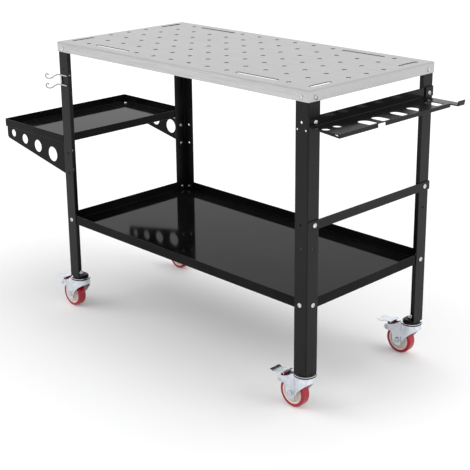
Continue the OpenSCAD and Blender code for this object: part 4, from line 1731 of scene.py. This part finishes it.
@dataclass
class Caster:
    """One braked swivel caster under a leg."""

    corner: str
    wheel_d: float = 75.0
    tyre_w: float = 24.0
    tyre_t: float = 8.0
    shoulder: float = 4.0
    shoulder_steps: int = 8
    lip: float = 0.8
    hub_gap: float = 0.02
    # Painted shade band on the race cup's rim: how far in from the cup's edge it starts, in mm, and how
    # upright its faces are.
    shade_band_in: float = 0.4
    shade_band_slope: float = 0.6
    wheel_steps: int = 96

    def build(self, shop: Workshop) -> None:
        """Makes the tyre and dresses the hub and the pressed steel.

        Args:
            shop: The workshop.
        """
        c, looks = self.corner, shop.finishes
        swivel, wheel, brake = c + "_swivel", c + "_wheel", c + "_brake"
        stem = shop.recut(c + "_stem", "frame", Slot.CASTER, looks.race, Recut(bevel=0.25, rounds=2))
        # Painted shade on the race cup's rim, in the collars' black coat.
        self.paint_rim_shade(stem, looks.coat["collar"])
        plated = (
            ("_fork", swivel, looks.caster, 0.45),
            ("_axle", swivel, looks.fastener, 0.5),
            ("_axle_nut", swivel, looks.fastener, 0.5),
            ("_pedal_pin", swivel, looks.fastener, 0.3),
            ("_pedal", brake, looks.caster, 0.4),
        )
        for part, body, finish, bevel in plated:
            shop.recut(c + part, body, Slot.CASTER, finish, Recut(bevel=bevel, rounds=2))
        own_mesh(self.tyre(looks.tyre), wheel, Slot.TYRE, c + "_tyre")
        shop.recut(c + "_hub", wheel, Slot.HUB, looks.hub, Recut(bevel=0.4, rounds=2))

    def paint_rim_shade(self, stem: Piece, material: Material) -> None:
        """Paints shade on the race cup's rim: its outer wall gets a dark finish, standing for the shade of
        the gap under the rim.

        Args:
            stem: The finished stem with its race cup.
            material: The finish of the painted shade.
        """
        node = self.corner + "_stem"
        low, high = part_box(node)
        middle = box_middle(node).xy
        rim = (high[0] - low[0]) / 2 - self.shade_band_in * MM
        mesh = stem.data
        mesh.materials.append(material)
        # The rim's upright outer faces get the dark finish, as painted shade.
        for face in mesh.polygons:
            out = min((mesh.vertices[v].co.xy - middle).length for v in face.vertices)
            if abs(face.normal.z) < self.shade_band_slope and out > rim:
                face.material_index = 1

    def tyre_profile(self) -> list:
        """Gives the closed section of the tyre.

        Returns:
            Pairs of distance from the axle and place along it, in mm.
        """
        r, w, s, lip = self.wheel_d / 2, self.tyre_w / 2, self.shoulder, self.lip
        inner = r - self.tyre_t
        seat = inner + self.hub_gap
        turn = quarter_turn(self.shoulder_steps)
        left = [(r - s + s * math.sin(a), -w + s - s * math.cos(a)) for a in turn]
        right = [(r - s + s * math.cos(a), w - s + s * math.sin(a)) for a in turn]
        return [(inner + lip, -w), *left, *right, (inner + lip, w), (seat, w - lip), (seat, -w + lip)]

    def tyre(self, material: Material) -> Piece:
        """Turns the tyre's section about the wheel's axle.

        Args:
            material: The tyre's finish.

        Returns:
            The piece.
        """
        centre, profile = box_middle(self.corner + "_tyre"), self.tyre_profile()
        form = bmesh.new()
        rings = []
        for k in range(self.wheel_steps):
            a = 2 * math.pi * k / self.wheel_steps
            spots = [Vector((q * math.cos(a), y, q * math.sin(a))) for q, y in profile]
            rings.append([form.verts.new(centre + spot * MM) for spot in spots])
        for first, second in zip(rings, rings[1:] + rings[:1]):
            join_rings(form, first, second)
        return folded_piece(form, self.corner + "_tyre_moulded", material)


@dataclass
class SwivelBalls:
    """The ball rings of the four swivel races."""

    ball_r: float = 1.9
    sharp: float = 60.0

    def build(self, shop: Workshop) -> None:
        """Sets a ball at each CAD ball's middle.

        Args:
            shop: The workshop.
        """
        boxes = [extents(points) for points in islands(shop.mesh("swivel_balls"))]
        base = point_mesh([(low + high) / 2 for low, high in boxes])
        values = {"Ball Radius": self.ball_r * MM, "Finish": shop.finishes.fastener}
        piece = RaceBallTree().bake("race_balls", base, values, self.sharp)
        own_mesh(piece, "frame", Slot.FASTENER, "swivel_balls")
        log.info("race_balls has %d balls", len(boxes))


# Studio


@dataclass
class Softbox:
    """One area lamp that looks at the table and shows in no reflection."""

    name: str
    place: tuple
    size: tuple
    power: float
    aim: tuple = (0.0, 0.0, 0.45)

    def build(self) -> None:
        """Adds the lamp."""
        data = bpy.data.lights.new(self.name, "AREA")
        data.shape = "RECTANGLE"
        data.size, data.size_y = self.size
        data.energy = self.power
        lamp = bpy.data.objects.new(self.name, data)
        lamp.location = self.place
        lamp.visible_glossy = False
        lamp.rotation_mode = "QUATERNION"
        lamp.rotation_quaternion = (Vector(self.place) - Vector(self.aim)).to_track_quat("Z", "Y")
        bpy.context.scene.collection.objects.link(lamp)


@dataclass
class Studio:
    """Floor, world, lamps and camera."""

    eye: tuple = (2.10259, -1.97174, 1.29049)
    yaw: float = 45.62
    pitch: float = 16.89
    roll: float = -0.53
    focal_px: float = 1110.27
    frame_px: float = 470.0
    sensor: float = 36.0
    shift_y: float = -0.12
    clip: tuple = (0.05, 50.0)
    floor_half: float = 9.0
    fill: float = 0.62
    lamps: tuple = (
        Softbox("key_box", (-1.6, -2.4, 2.9), (2.8, 2.2), 48.0),
        Softbox("right_box", (3.2, 0.6, 1.9), (2.4, 2.2), 34.0),
        Softbox("top_box", (0.2, 0.9, 3.2), (2.8, 2.2), 34.0),
    )

    def build(self) -> None:
        """Sets up the whole studio."""
        scene = bpy.context.scene
        scene.view_settings.view_transform = "Standard"
        self.floor()
        self.world()
        for lamp in self.lamps:
            lamp.build()
        self.camera()

    def floor(self) -> None:
        """Adds the pale floor."""
        mesh = bpy.data.meshes.new("studio_floor")
        h = self.floor_half
        mesh.from_pydata([(-h, -h, 0), (h, -h, 0), (h, h, 0), (-h, h, 0)], [], [(0, 1, 2, 3)])
        floor = mesh_object("studio_floor", mesh, PaleFloor().material())

    def world(self) -> None:
        """Makes the world white to the camera and in mirrors, and a soft fill to the rest."""
        world = bpy.data.worlds.new("studio_world")
        world.use_nodes = True
        board = NodeBoard(world.node_tree)
        background = next(n for n in world.node_tree.nodes if n.type == "BACKGROUND")
        rays = board.add("ShaderNodeLightPath").outputs
        seen = board.math("MAXIMUM", rays["Is Camera Ray"], rays["Is Transmission Ray"])
        seen = board.math("MAXIMUM", seen, rays["Is Glossy Ray"])
        strength = board.math("ADD", board.times(seen, 1.0 - self.fill), self.fill)
        board.feed(background.inputs["Strength"], strength)
        board.feed(background.inputs["Color"], WHITE)
        bpy.context.scene.world = world

    def camera(self) -> None:
        """Places the camera at the photograph's viewing angle."""
        data = bpy.data.cameras.new("table_camera")
        data.sensor_width = self.sensor
        data.lens = self.focal_px / self.frame_px * data.sensor_width
        data.shift_y = self.shift_y
        data.clip_start, data.clip_end = self.clip
        camera = bpy.data.objects.new("table_camera", data)
        turn = Matrix.Rotation(math.radians(self.yaw), 4, "Z")
        turn @= Matrix.Rotation(math.radians(90.0 - self.pitch), 4, "X")
        turn @= Matrix.Rotation(math.radians(self.roll), 4, "Z")
        camera.matrix_world = Matrix.Translation(self.eye) @ turn
        bpy.context.scene.collection.objects.link(camera)
        bpy.context.scene.camera = camera


def main() -> None:
    """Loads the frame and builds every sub-assembly."""
    logging.basicConfig(level=logging.INFO, format="%(name)s: %(message)s")
    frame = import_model()
    shop = Workshop(frame, Finishes(Effects()))
    Studio().build()
    Tabletop().build(shop)
    Framework().build(shop)
    ToolRack().build(shop)
    Fasteners().build(shop)
    SwivelBalls().build(shop)
    for corner in CORNERS:
        Caster(corner).build(shop)


if __name__ == "__main__":
    main()
